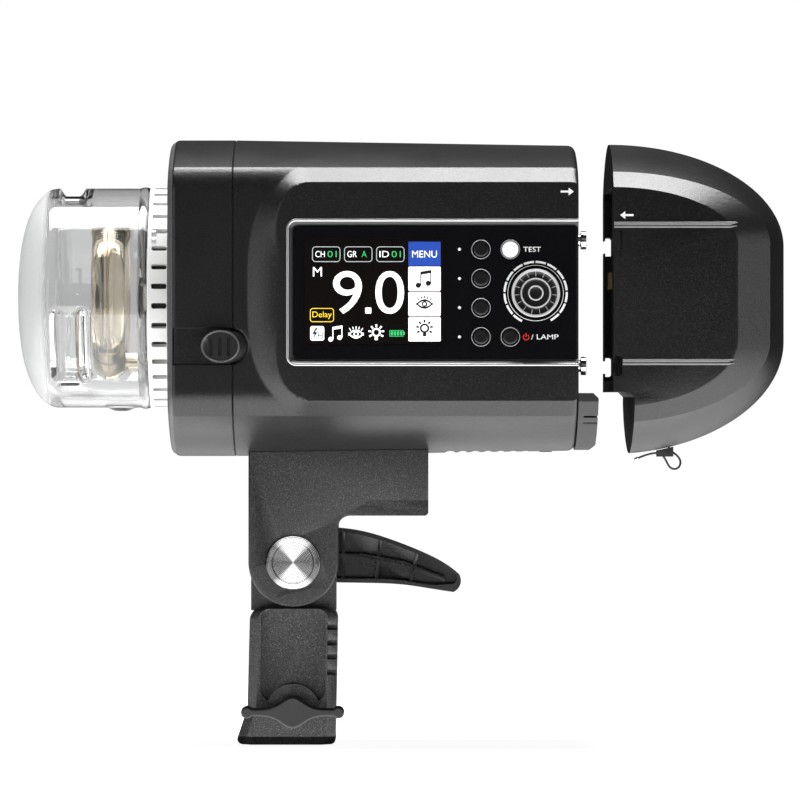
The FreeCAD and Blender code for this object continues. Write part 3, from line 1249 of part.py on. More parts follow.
def battery_lock_pin():
    z = at_axis(LOCK_PIN_Z)
    pin = rod(V(REAR_X - 9, 0, z), X_DIR, LOCK_PIN_R, 9 + LOCK_PIN_OUT)
    collar = rod(V(REAR_X - 9, 0, z), X_DIR, LOCK_PIN_R + 1.6, 1.6)
    return pin.fuse(collar).removeSplitter()


def build():
    lamp_base, lamp_lens = modelling_lamp()
    screws_rear = [V(BULKHEAD_FACE_X, y, at_axis(z)) for y, z in BULKHEAD_SCREWS]
    parts = {
        "stand_adapter": stand_adapter(),
        "pivot_washers": pivot_washers(),
        "clamp_pad": clamp_pad(),
        "clamp_screw": clamp_screw(),
        "wing_knob": wing_knob(),
        "upper_bracket": upper_bracket(),
        "pivot_bolt": pivot_bolt(),
        "foot_screws": pan_screws(foot_screw_places(), Z_DIR, 3.9, 2.4, 2.0, 27.5),
        "tilt_lever": tilt_lever(),
        "front_housing": front_housing(),
        "bayonet_ring": bayonet_ring(),
        "main_housing": main_housing(),
        "rear_bulkhead": rear_bulkhead(),
        "bulkhead_screws": pan_screws(screws_rear, V(-1, 0, 0), SCREW_HEAD_R, SCREW_HEAD_L,
                                      SCREW_R, 6),
        "battery_studs": battery_studs(),
        "latch_heel": latch_heel(),
        "head_contacts": head_contacts(),
        "panel_frame": panel_frame(-1),
        "control_panel": control_panel(),
        "display_module": slab(rectangle(LCD_X0 + FIT_GAP, LCD_X1 - FIT_GAP,
                                         at_axis(LCD_BOTTOM) + FIT_GAP,
                                         at_axis(LCD_TOP) - FIT_GAP, 0.9),
                               -PANEL_FACE_Y + 0.3, -BOARD_Y),
        "control_board": control_board(),
        "dial": dial(),
        "dial_button": dial_button(),
        "side_frame": panel_frame(1),
        "side_panel": side_panel(),
        "side_sockets": side_sockets(),
        "port_cover": port_cover(),
        "release_button": release_button(),
        "battery_lock_pin": battery_lock_pin(),
        "lock_slider": lock_slider(),
        "lock_pin": lock_pin(),
        "capacitor_bank": capacitor_bank(),
        "power_board": power_board(),
        "fan_frame": fan_frame(),
        "fan_rotor": fan_rotor(),
        "heat_sink": heat_sink(),
        "tube_socket": tube_socket(),
        "reflector_plate": reflector_plate(),
        "modelling_lamp": lamp_base,
        "lamp_lens": lamp_lens,
        "flash_tube": flash_tube(),
        "tube_wires": group([tube_electrodes(), trigger_wire()]),
        "vent_ring": vent_ring(),
        "glass_dome": glass_dome(),
        "battery_case": battery_case(),
        "battery_ridges": battery_ridges(),
        "battery_front_plate": battery_front_plate(),
        "battery_cells": group([rod(V(x, -CELL_LENGTH / 2, at_axis(z)), Y_DIR, CELL_R,
                                    CELL_LENGTH) for x, z in cell_places()]),
        "battery_board": board(BATTERY_X + 6.8, BATTERY_X + 8.4, -34, 34, -26, 40, []),
        "battery_blades": contact_blades(BATTERY_X + 0.2, BATTERY_X + 6.8, 3.7, 10.3),
        "tether_cord": tether_cord(),
        "tether_saddle": tether_saddle(),
        "tether_ferrule": tether_ferrule(),
    }
    for name, x, z in key_places():
        parts[name] = key(x, z)
    return parts


os.makedirs("parts", exist_ok=True)
for node, shape in build().items():
    shape.exportStep("parts/%s.step" % node)
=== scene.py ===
"""Looks of a battery monolight strobe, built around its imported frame.

The frame holds every mechanical piece.  Each class below is one sub-assembly: it keeps its
sizes as fields, in millimetres, works out its surfaces with numpy and dresses them in
procedural finishes.  Heights named "from the axis" are measured from the optical axis.
"""

from __future__ import annotations

import json
import logging
import math
from dataclasses import dataclass, field
from enum import Enum
from typing import Callable, Sequence

import bmesh
import bpy
import numpy as np
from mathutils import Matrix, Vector

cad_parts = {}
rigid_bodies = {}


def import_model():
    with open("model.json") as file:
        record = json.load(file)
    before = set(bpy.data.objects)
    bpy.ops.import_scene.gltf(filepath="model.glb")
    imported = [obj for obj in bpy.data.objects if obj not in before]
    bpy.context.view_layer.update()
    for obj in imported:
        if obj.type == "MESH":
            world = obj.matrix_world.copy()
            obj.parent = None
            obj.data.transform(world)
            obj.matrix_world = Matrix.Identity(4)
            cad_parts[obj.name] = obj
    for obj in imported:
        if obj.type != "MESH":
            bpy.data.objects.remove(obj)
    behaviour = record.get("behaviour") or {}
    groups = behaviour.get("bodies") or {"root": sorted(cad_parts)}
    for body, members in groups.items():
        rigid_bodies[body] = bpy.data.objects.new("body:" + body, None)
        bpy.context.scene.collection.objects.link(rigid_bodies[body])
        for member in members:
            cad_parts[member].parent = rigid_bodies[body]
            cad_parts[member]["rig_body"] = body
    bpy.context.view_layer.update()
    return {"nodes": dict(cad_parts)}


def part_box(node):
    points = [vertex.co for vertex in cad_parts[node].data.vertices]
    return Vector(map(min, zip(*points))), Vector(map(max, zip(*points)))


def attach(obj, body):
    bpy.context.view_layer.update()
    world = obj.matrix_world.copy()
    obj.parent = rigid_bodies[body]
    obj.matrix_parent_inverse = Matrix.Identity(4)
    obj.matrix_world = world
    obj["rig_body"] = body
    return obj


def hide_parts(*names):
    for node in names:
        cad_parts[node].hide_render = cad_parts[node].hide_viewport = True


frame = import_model()

LOG = logging.getLogger("monolight")
MM = 0.001
Array = np.ndarray
Colour = tuple[float, float, float]


# ---- shader maths -------------------------------------------------------------------------------
class Signal:
    """A shader socket's value; the usual operators add Math nodes."""

    def __init__(self, board: "NodeBoard", socket: bpy.types.NodeSocket) -> None:
        """Wraps one output socket of a board."""
        self.board = board
        self.socket = socket

    def _join(self, operation: str, first: object, second: object = 0.0) -> "Signal":
        """One Math node on two values.

        Args:
            operation: Blender's name for the sum.
            first: a Signal or number.
            second: a Signal or number.

        Returns:
            The node's result.
        """
        return self.board.signal("ShaderNodeMath", {"operation": operation},
                                 {0: first, 1: second})

    def __add__(self, other: object) -> "Signal":
        """Sum."""
        return self._join("ADD", self, other)

    __radd__ = __add__

    def __mul__(self, other: object) -> "Signal":
        """Product."""
        return self._join("MULTIPLY", self, other)

    __rmul__ = __mul__

    def __sub__(self, other: object) -> "Signal":
        """Difference."""
        return self._join("SUBTRACT", self, other)

    def __rsub__(self, other: object) -> "Signal":
        """Reflected difference."""
        return self._join("SUBTRACT", other, self)

    def __gt__(self, other: object) -> "Signal":
        """1 where the value is the larger, else 0."""
        return self._join("GREATER_THAN", self, other)

    def clamp(self) -> "Signal":
        """The value held between 0 and 1."""
        return self._join("MINIMUM", self._join("MAXIMUM", self, 0.0), 1.0)


class NodeBoard:
    """One material's node tree."""

    def __init__(self, name: str) -> None:
        """Starts an empty tree in a new material."""
        self.material = bpy.data.materials.new(name)
        self.material.use_nodes = True
        self.tree = self.material.node_tree
        self.tree.nodes.clear()

    def node(self, kind: str, settings: dict | None = None,
             inputs: dict | None = None) -> bpy.types.Node:
        """Adds a node.

        Args:
            kind: the node's type.
            settings: its own settings; "stops" holds a colour ramp's stops.
            inputs: a value or Signal for each socket, by name or number.

        Returns:
            The new node.
        """
        made = self.tree.nodes.new(kind)
        for key, value in (settings or {}).items():
            if key == "stops":
                ramp = made.color_ramp.elements
                while len(ramp) < len(value):
                    ramp.new(1.0)
                for stop, (place, colour) in zip(ramp, value):
                    stop.position = place
                    stop.color = (*colour, 1.0)
            else:
                setattr(made, key, value)
        for key, value in (inputs or {}).items():
            socket = made.inputs[key]
            if isinstance(value, Signal):
                self.tree.links.new(value.socket, socket)
            elif isinstance(value, tuple) and len(value) == 3 and len(socket.default_value) == 4:
                socket.default_value = (*value, 1.0)
            else:
                socket.default_value = value
        return made

    def signal(self, kind: str, settings: dict | None = None, inputs: dict | None = None,
               output: int | str = 0) -> Signal:
        """Adds a node and gives one of its outputs."""
        return Signal(self, self.node(kind, settings, inputs).outputs[output])

    def place(self) -> Signal:
        """Object coordinates, in metres."""
        return self.signal("ShaderNodeTexCoord", output="Object")

    def along(self, axis: int) -> Signal:
        """One object coordinate, in millimetres."""
        parts = self.node("ShaderNodeSeparateXYZ", inputs={0: self.place()})
        return Signal(self, parts.outputs[axis]) * 1000.0

    def noise(self, size: float, detail: float = 2.0, where: Signal | None = None) -> Signal:
        """Noise whose features are about `size` millimetres wide."""
        return self.signal("ShaderNodeTexNoise", inputs={
            "Vector": where or self.place(), "Scale": 1000.0 / size, "Detail": detail})

    def blend(self, share: object, low: object, high: object) -> Signal:
        """Mixes two colours."""
        mixer = self.node("ShaderNodeMix", {"data_type": "RGBA"}, {0: share, 6: low, 7: high})
        return Signal(self, mixer.outputs[2])

    def bump(self, height: Signal, depth: float, strength: float = 1.0) -> Signal:
        """A Bump node whose full height is `depth` millimetres."""
        return self.signal("ShaderNodeBump", inputs={
            "Height": height, "Distance": depth * MM, "Strength": strength})

    def close(self, shader: bpy.types.Node) -> bpy.types.Material:
        """Joins the last shader to the output."""
        out = self.tree.nodes.new("ShaderNodeOutputMaterial")
        self.tree.links.new(shader.outputs[0], out.inputs[0])
        return self.material


_made: dict[object, bpy.types.Material] = {}


class Finish:
    """Anything that can make its own material once."""

    def build(self) -> bpy.types.Material:
        """Makes the material."""
        raise NotImplementedError

    def material(self) -> bpy.types.Material:
        """The one material of this finish."""
        if self not in _made:
            _made[self] = self.build()
        return _made[self]


@dataclass(frozen=True)
class Moulded(Finish):
    """Spark-eroded plastic or powder-coated alloy: a fine grain with soft, uneven gloss."""

    name: str
    colour: Colour
    roughness: float = 0.45
    grain: float = 0.8
    depth: float = 0.05
    speckle: float = 0.5
    fleck: float = 0.0

    def build(self) -> bpy.types.Material:
        """Two sizes of noise give the grain, a third light flecks, a slow one uneven gloss."""
        board = NodeBoard(self.name)
        fine = board.noise(self.grain, 3.0)
        slow = board.noise(34.0, 2.0)
        dark = tuple(c * (1.0 - self.speckle) for c in self.colour)
        light = tuple(c * (1.0 + self.speckle) for c in self.colour)
        height = fine + board.noise(self.grain * 3.2, 1.0) * 0.6
        colour = board.blend(fine, dark, light)
        if self.fleck > 0:
            specks = ((board.noise(self.grain * 0.8, 1.0) - 0.54) * 6.0).clamp()
            colour = board.blend(specks, colour, (self.fleck,) * 3)
        shader = board.node("ShaderNodeBsdfPrincipled", inputs={
            "Base Color": colour,
            "Roughness": slow * 0.12 + (self.roughness - 0.06),
            "Normal": board.bump(height, self.depth),
        })
        return board.close(shader)


class Brush(Enum):
    """Which way a metal's fine scratches run."""

    NONE = "none"
    RINGS_Y = "rings about the Y axis"
    ALONG_X = "along X"


@dataclass(frozen=True)
class Metal(Finish):
    """Plated or bare metal, plain or brushed."""

    name: str
    colour: Colour
    roughness: float = 0.22
    brush: Brush = Brush.NONE
    centre: tuple[float, float] = (0.0, 0.0)
    pitch: float = 0.45
    depth: float = 0.012
    painted_shade_share: float = 1.0

    def build(self) -> bpy.types.Material:
        """Brushed rings come from a sine of the distance to the centre, scratches from noise.

        A turned face gets a painted highlight in its colour: full colour in two wedges above
        and below its centre, where the squared share of the height in that distance is large,
        and painted shade elsewhere, down to `painted_shade_share` times that colour.
        """
        board = NodeBoard(self.name)
        cloud = board.noise(6.0, 3.0)
        colour = board.blend(cloud, tuple(c * 0.9 for c in self.colour), self.colour)
        if self.brush is Brush.RINGS_Y:
            x = board.along(0) - self.centre[0]
            z = board.along(2) - self.centre[1]
            radius = board.signal("ShaderNodeMath", {"operation": "SQRT"}, {0: x * x + z * z})
            turn = radius * (2.0 * math.pi / self.pitch)
            height = board.signal("ShaderNodeMath", {"operation": "SINE"}, {0: turn})
            share = board.signal("ShaderNodeMath", {"operation": "DIVIDE"}, {0: z * z, 1: radius})
            share = board.signal("ShaderNodeMath", {"operation": "DIVIDE"}, {0: share, 1: radius})
            # painted highlight and shade: full colour in the upper and lower wedges, painted
            # darker at the sides
            bright = ((share - 0.42) * 3.0).clamp()
            colour = board.blend(bright, tuple(c * self.painted_shade_share for c in self.colour), self.colour)
        elif self.brush is Brush.ALONG_X:
            stretched = board.signal("ShaderNodeMapping", inputs={
                "Vector": board.place(), "Scale": (0.04, 1.0, 1.0)})
            height = board.noise(0.3, 2.0, stretched)
        else:
            height = board.noise(0.6, 2.0)
        shader = board.node("ShaderNodeBsdfPrincipled", inputs={
            "Base Color": colour,
            "Metallic": 1.0,
            "Roughness": cloud * 0.1 + (self.roughness - 0.05),
            "Normal": board.bump(height, self.depth),
        })
        return board.close(shader)


@dataclass(frozen=True)
class Gloss(Finish):
    """Polished plastic, lacquer or rubber with a faint ripple and dust in its gloss."""

    name: str
    colour: Colour
    roughness: float = 0.12
    coat: float = 0.0
    glow: float = 0.0

    def build(self) -> bpy.types.Material:
        """A slow noise ripples the surface by a few hundredths of a millimetre."""
        board = NodeBoard(self.name)
        ripple = board.noise(9.0, 2.0)
        dust = board.noise(1.3, 4.0)
        base = board.blend(dust, tuple(c * 0.92 for c in self.colour), self.colour)
        inputs = {
            "Base Color": base,
            "Roughness": dust * 0.06 + (self.roughness - 0.03),
            "Coat Weight": self.coat,
            "Normal": board.bump(ripple, 0.02),
        }
        if self.glow > 0:
            inputs["Emission Color"] = base
            inputs["Emission Strength"] = self.glow
        return board.close(board.node("ShaderNodeBsdfPrincipled", inputs=inputs))


@dataclass(frozen=True)
class Glass(Finish):
    """Clear glass; `frost` makes what lies in front of that X (in millimetres) milky."""

    name: str
    colour: Colour = (1.0, 1.0, 1.0)
    roughness: float = 0.02
    frost: float | None = None
    waviness: float = 0.05

    def build(self) -> bpy.types.Material:
        """Clear and frosted glass share one body; their mix follows X over a soft edge."""
        board = NodeBoard(self.name)
        wave = board.bump(board.noise(16.0, 2.0), self.waviness)
        clear = {"Base Color": self.colour, "Roughness": self.roughness, "IOR": 1.46,
                 "Transmission Weight": 1.0, "Normal": wave}
        if self.frost is None:
            return board.close(board.node("ShaderNodeBsdfPrincipled", inputs=clear))
        share = ((self.frost - board.along(0)) * 0.4 + 0.5).clamp()
        pits = board.noise(0.5, 3.0)
        shine = board.node("ShaderNodeBsdfPrincipled", inputs=clear)
        milky = board.node("ShaderNodeBsdfPrincipled", inputs={
            "Base Color": board.blend(pits, (0.86, 0.87, 0.88), (0.96, 0.96, 0.96)),
            "Roughness": 0.55, "IOR": 1.46, "Transmission Weight": 0.72,
            "Normal": board.bump(pits, 0.03)})
        mixer = board.node("ShaderNodeMixShader", inputs={0: share * 0.92})
        board.tree.links.new(shine.outputs[0], mixer.inputs[1])
        board.tree.links.new(milky.outputs[0], mixer.inputs[2])
        return board.close(mixer)


HOUSING = Moulded("housing_grain", (0.0045, 0.0045, 0.0048), 0.33, 0.6, 0.06, fleck=0.022)
BATTERY_SKIN = Moulded("battery_grain", (0.0045, 0.0044, 0.0046), 0.33, 0.6, 0.06, fleck=0.02)
INNER = Moulded("inner_plastic", (0.02, 0.02, 0.022), 0.55, 1.2, 0.03)
SOFT_BLACK = Moulded("soft_black", (0.011, 0.011, 0.012), 0.5, 0.6, 0.03)
CAST = Moulded("powder_coat", (0.007, 0.007, 0.0075), 0.38, 0.5, 0.08, 0.6, fleck=0.06)
# a lighter copy of the same cast-black coat for the stand adapter: its brighter lit look is
# painted into the colour
CAST_PAINTED_LIGHTER = Moulded("powder_coat_painted_lighter", (0.016, 0.016, 0.017), 0.4, 0.5, 0.08, 0.6, 0.12)
# painted highlight: a lighter grey put on the black front chamfer and the slider knob's rim
RIM_PAINTED_HIGHLIGHT = Moulded("rim_painted_highlight", (0.075, 0.075, 0.078), 0.4, 0.75, 0.05)
LEVER_SKIN = Moulded("lever_grain", (0.006, 0.006, 0.0065), 0.28, 0.7, 0.03, fleck=0.02)
RUBBER = Moulded("rubber", (0.013, 0.013, 0.013), 0.6, 0.5, 0.02)
FIBRE = Moulded("friction_fibre", (0.16, 0.1, 0.06), 0.8, 0.4, 0.06)
CERAMIC = Moulded("ceramic", (0.78, 0.76, 0.72), 0.5, 0.6, 0.02, 0.06)
VENT_WHITE = Moulded("vent_white", (0.8, 0.8, 0.79), 0.4, 0.6, 0.015, 0.04)
SLEEVE = Moulded("capacitor_sleeve", (0.02, 0.03, 0.07), 0.3, 1.0, 0.01)
CELL_SLEEVE = Moulded("cell_sleeve", (0.05, 0.28, 0.32), 0.3, 1.0, 0.01)
BOARD_GREEN = Moulded("board_lacquer", (0.01, 0.09, 0.035), 0.3, 0.5, 0.02)
TETHER = Moulded("tether_braid", (0.012, 0.012, 0.012), 0.5, 0.25, 0.03)
ZINC = Metal("zinc_steel", (0.55, 0.56, 0.58), 0.3)
BLACK_STEEL = Metal("black_steel", (0.05, 0.05, 0.052), 0.35)
CHROME = Metal("bright_steel", (0.82, 0.82, 0.83), 0.12)
ALLOY = Metal("bright_alloy", (0.72, 0.72, 0.73), 0.28, Brush.ALONG_X)
TRIM = Metal("silver_trim", (0.6, 0.6, 0.61), 0.36, Brush.ALONG_X, depth=0.002)
BRASS = Metal("brass", (0.75, 0.55, 0.24), 0.3)
GOLD_WIRE = Metal("nickel_wire", (0.36, 0.3, 0.21), 0.35)
REFLECTOR = Metal("reflector", (0.86, 0.86, 0.87), 0.25)
PANEL_BLACK = Gloss("panel_gloss", (0.004, 0.004, 0.005), 0.1, 0.3)
DISPLAY_BLACK = Gloss("display_glass", (0.006, 0.0045, 0.0045), 0.1, 0.1)
# painted glow: the white print emits a little light of its own, though it is no lamp
INK_WHITE_PAINTED_GLOW = Gloss("ink_white_painted_glow", (0.85, 0.85, 0.85), 0.4, glow=0.12)
LIT_WHITE = Gloss("lit_white", (0.9, 0.92, 0.92), 0.4, glow=0.85)
LIT_BLUE = Gloss("lit_blue", (0.015, 0.06, 0.36), 0.4, glow=0.45)
LIT_GREEN = Gloss("lit_green", (0.03, 0.42, 0.12), 0.4, glow=0.6)
LIT_YELLOW = Gloss("lit_yellow", (0.85, 0.62, 0.03), 0.4, glow=0.6)
LIT_BLACK = Gloss("unlit_ink", (0.004, 0.004, 0.005), 0.4)
LIT_TEAL = Gloss("lit_grey", (0.42, 0.46, 0.46), 0.4, glow=0.5)
# painted glow: the red print emits a little light of its own, though it is no lamp
RED_INK_PAINTED_GLOW = Gloss("ink_red_painted_glow", (0.6, 0.02, 0.015), 0.4, glow=0.2)
KEY_GREY = Gloss("key_cap", (0.005, 0.005, 0.0055), 0.3, 0.1)
# painted highlight: grey for the edge rings of the black keys
KEY_RING_PAINTED_HIGHLIGHT = Gloss("key_ring_painted_highlight", (0.34, 0.34, 0.35), 0.3, 0.1)
KEY_WHITE = Gloss("key_white", (0.85, 0.85, 0.85), 0.3, 0.2, glow=0.45)
DIAL_DARK = Gloss("dial_dark", (0.005, 0.005, 0.0055), 0.3, 0.1)
DIAL_RIM = Gloss("dial_rim", (0.5, 0.5, 0.51), 0.22, 0.3)
DIAL_SIDE = Gloss("dial_side", (0.03, 0.03, 0.032), 0.3, 0.1)
STRIP_DARK = Moulded("strip_satin", (0.03, 0.03, 0.031), 0.3, 0.6, 0.01, 0.2)
# painted highlight: light grey on the black battery's ribs
RIB_PAINTED_HIGHLIGHT = Moulded("rib_painted_highlight", (0.22, 0.22, 0.225), 0.3, 0.6, 0.01, 0.1)
SLIDER_SKIN = Gloss("slider_satin", (0.014, 0.014, 0.015), 0.34, 0.1)
TUBE_GLASS = Glass("tube_glass", (0.95, 0.9, 0.8), 0.04)
LENS = Glass("lamp_lens", (1.0, 0.98, 0.94), 0.1)


# ---- mesh making --------------------------------------------------------------------------------
def reach(node: str) -> tuple[Array, Array]:
    """Lowest and highest corner of a CAD node, in millimetres."""
    low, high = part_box(node)
    return np.array(low) / MM, np.array(high) / MM


def axis_height() -> float:
    """Height of the optical axis: the middle of the bayonet ring, in millimetres."""
    low, high = reach("bayonet_ring")
    return (low[2] + high[2]) / 2


def smooth_step(value: Array, start: float, end: float) -> Array:
    """0 before start, 1 after end, and 3t^2 - 2t^3 between."""
    t = np.clip((value - start) / (end - start), 0.0, 1.0)
    return t * t * (3.0 - 2.0 * t)


class Mould:
    """Gathers grids and caps, in millimetres, and casts them as one closed mesh."""

    def __init__(self) -> None:
        """Starts with no points."""
        self.points: list[Array] = []
        self.faces: list[list[int]] = []
        self.marks: list[int] = []
        self.count = 0

    def grid(self, points: Array, wrap_u: bool = False, wrap_v: bool = False,
             mark: int | Array = 0) -> Array:
        """Adds a grid of quads.

        Args:
            points: array of shape (nu, nv, 3).
            wrap_u: whether the last row meets the first.
            wrap_v: whether the last column meets the first.
            mark: material number, or one for each quad.

        Returns:
            The index of each point, for caps.
        """
        nu, nv = points.shape[:2]
        index = np.arange(nu * nv).reshape(nu, nv) + self.count
        here = index if wrap_u else index[:-1]
        there = np.roll(index, -1, axis=0) if wrap_u else index[1:]
        if wrap_v:
            quads = np.stack([here, there, np.roll(there, -1, 1), np.roll(here, -1, 1)], -1)
        else:
            quads = np.stack([here[:, :-1], there[:, :-1], there[:, 1:], here[:, 1:]], -1)
        flat = quads.reshape(-1, 4)
        self.points.append(points.reshape(-1, 3))
        self.faces.extend(flat.tolist())
        self.marks.extend(np.broadcast_to(mark, quads.shape[:2]).ravel().tolist())
        self.count += nu * nv
        return index

    def cap(self, ring: Array, mark: int = 0) -> None:
        """Closes a ring of points with one face."""
        self.faces.append([int(i) for i in ring])
        self.marks.append(mark)

    def prism(self, outline: Array, near: float, far: float, mark: int = 0) -> None:
        """An outline in X and Z given depth from Y = near to Y = far, closed by two caps."""
        rings = np.stack([np.column_stack([outline[:, 0], np.full(len(outline), y),
                                           outline[:, 1]]) for y in (near, far)])
        index = self.grid(rings, wrap_v=True, mark=mark)
        self.cap(index[0], mark)
        self.cap(index[1], mark)

    def cushion(self, outline: Array, near: float, far: float, bevel: float,
                mark: int = 0) -> None:
        """A prism whose near edge is a quarter round.

        The ring at angle a is the outline drawn in by bevel * (1 - cos a) and lies
        bevel * (1 - sin a) behind the near face.
        """
        inward = inward_normals(outline)
        rings = []
        for turn in np.linspace(90.0, 0.0, 5):
            a = math.radians(turn)
            moved = outline + inward * bevel * (1.0 - math.cos(a))
            depth = near + math.copysign(bevel * (1.0 - math.sin(a)), far - near)
            rings.append(np.column_stack([moved[:, 0], np.full(len(moved), depth), moved[:, 1]]))
        rings.append(np.column_stack([outline[:, 0], np.full(len(outline), far), outline[:, 1]]))
        index = self.grid(np.stack(rings), wrap_v=True, mark=mark)
        self.cap(index[0], mark)
        self.cap(index[-1], mark)

    def lathe(self, profile: Array, centre: Sequence[float], axis: int, count: int = 96,
              mark: int | Array = 0, closed: bool = True) -> None:
        """Turns a profile about a line through `centre`.

        The point of the profile (r, h) goes to centre + h * axis + r * (cos a, sin a).

        Args:
            profile: rows of (radius, place along the axis).
            centre: a point on the axis.
            axis: 0 for X, 1 for Y.
            count: steps round the turn.
            mark: material number, or one for each run of the profile.
            closed: whether the profile's last point meets its first.
        """
        angle = np.linspace(0.0, 2.0 * np.pi, count, endpoint=False)[:, None]
        radius = profile[:, 0][None, :]
        height = np.broadcast_to(profile[:, 1][None, :], (count, len(profile)))
        across = radius * np.cos(angle)
        upward = radius * np.sin(angle)
        if axis == 0:
            stack = [height, across + centre[1], upward + centre[2]]
        else:
            stack = [across + centre[0], height, upward + centre[2]]
        self.grid(np.stack(stack, -1), wrap_u=True, wrap_v=closed, mark=mark)

    def tube(self, path: Array, radius: float, count: int = 12, mark: int = 0) -> None:
        """A round tube along a path, closed at both ends.

        Each ring lies in the plane across the path, on two directions found from the path's
        tangent and a fixed side direction.
        """
        tangent = np.gradient(path, axis=0)
        tangent /= np.linalg.norm(tangent, axis=1)[:, None]
        side = np.cross(tangent, np.array([0.31, 0.83, 0.47]))
        side /= np.linalg.norm(side, axis=1)[:, None]
        up = np.cross(tangent, side)
        angle = np.linspace(0.0, 2.0 * np.pi, count, endpoint=False)
        rings = (path[:, None, :] + radius * np.cos(angle)[None, :, None] * side[:, None, :]
                 + radius * np.sin(angle)[None, :, None] * up[:, None, :])
        index = self.grid(rings, wrap_v=True, mark=mark)
        self.cap(index[0], mark)
        self.cap(index[-1], mark)

    def block(self, low: Sequence[float], high: Sequence[float], mark: int = 0) -> None:
        """A plain box between two corners, used for cutters and small bars."""
        outline = np.array([[low[0], low[2]], [high[0], low[2]], [high[0], high[2]],
                            [low[0], high[2]]])
        self.prism(outline, low[1], high[1], mark)

    def cast(self, name: str, finishes: Sequence[Finish], sharp: float = 32.0,
             weld: float = 0.002) -> bpy.types.Object:
        """Makes the object.

        Args:
            name: the piece's name.
            finishes: one for each material number.
            sharp: edges that turn by more than this many degrees stay crisp.
            weld: points nearer than this, in millimetres, become one.

        Returns:
            The object, at the origin, with its place in its mesh.
        """
        mesh = bpy.data.meshes.new(name)
        mesh.from_pydata((np.concatenate(self.points) * MM).tolist(), [], self.faces)
        mesh.polygons.foreach_set("material_index", self.marks)
        shell = bmesh.new()
        shell.from_mesh(mesh)
        bmesh.ops.remove_doubles(shell, verts=shell.verts, dist=weld * MM)
        bmesh.ops.dissolve_degenerate(shell, edges=shell.edges, dist=weld * MM * 0.5)
        bmesh.ops.recalc_face_normals(shell, faces=shell.faces)
        shell.to_mesh(mesh)
        shell.free()
        mesh.shade_smooth()
        mesh.set_sharp_from_angle(angle=math.radians(sharp))
        for finish in finishes:
            mesh.materials.append(finish.material())
        made = bpy.data.objects.new(name, mesh)
        bpy.context.scene.collection.objects.link(made)
        return made


def inward_normals(outline: Array) -> Array:
    """Unit directions into a closed outline at each point, mitred at its corners."""
    ahead = np.roll(outline, -1, 0) - outline
    ahead /= np.maximum(np.linalg.norm(ahead, axis=1), 1e-9)[:, None]
    behind = np.roll(ahead, 1, 0)
    area = np.sum(outline[:, 0] * np.roll(outline[:, 1], -1)
                  - np.roll(outline[:, 0], -1) * outline[:, 1])
    turn = 1.0 if area > 0 else -1.0
    first = turn * np.column_stack([-ahead[:, 1], ahead[:, 0]])
    second = turn * np.column_stack([-behind[:, 1], behind[:, 0]])
    total = first + second
    total /= np.maximum(np.linalg.norm(total, axis=1), 1e-9)[:, None]
    stretch = np.clip(np.sum(total * first, axis=1), 0.5, 1.0)
    return total / stretch[:, None]


def rounded_box(x0: float, x1: float, z0: float, z1: float, radius: float,
                steps: int = 6) -> Array:
    """A rectangle in X and Z with quarter-round corners."""
    corners = ((x1 - radius, z1 - radius, 0.0), (x0 + radius, z1 - radius, 90.0),
               (x0 + radius, z0 + radius, 180.0), (x1 - radius, z0 + radius, 270.0))
    runs = []
    for x, z, start in corners:
        a = np.radians(start + np.linspace(0.0, 90.0, steps))
        runs.append(np.column_stack([x + radius * np.cos(a), z + radius * np.sin(a)]))
    return np.concatenate(runs)


def round_outline(x: float, z: float, radius: float, count: int = 48) -> Array:
    """A circle in X and Z."""
    a = np.linspace(0.0, 2.0 * np.pi, count, endpoint=False)
    return np.column_stack([x + radius * np.cos(a), z + radius * np.sin(a)])


def carve(piece: bpy.types.Object, cutter: bpy.types.Object, sharp: float = 32.0,
          operation: str = "DIFFERENCE") -> None:
    """Takes the cutter's shape out of a piece, or joins it on, and removes the cutter."""
    job = piece.modifiers.new("carve", "BOOLEAN")
    job.operation = operation
    job.solver = "EXACT"
    job.object = cutter
    graph = bpy.context.evaluated_depsgraph_get()
    carved = bpy.data.meshes.new_from_object(piece.evaluated_get(graph))
    piece.modifiers.clear()
    old = piece.data
    piece.data = carved
    bpy.data.objects.remove(cutter)
    bpy.data.meshes.remove(old)
    carved.name = piece.name
    carved.shade_smooth()
    carved.set_sharp_from_angle(angle=math.radians(sharp))


class Assembly:
    """Shared work of every sub-assembly: riding, replaced nodes and the log."""

    def settle(self, piece: bpy.types.Object, body: str, slot: str,
               stands_for: Sequence[str] = ()) -> bpy.types.Object:
        """Puts a finished piece on its body.

        Args:
            piece: the finished object.
            body: the CAD body it rides on.
            slot: the record's material slot; not used.
            stands_for: CAD nodes that it replaces.

        Returns:
            The piece.
        """
        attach(piece, body)
        if stands_for:
            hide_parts(*stands_for)
        LOG.info("%s: %d faces, rides on %s", piece.name, len(piece.data.polygons), body)
        return piece

    def build(self) -> None:
        """Makes every piece of the sub-assembly."""
        raise NotImplementedError


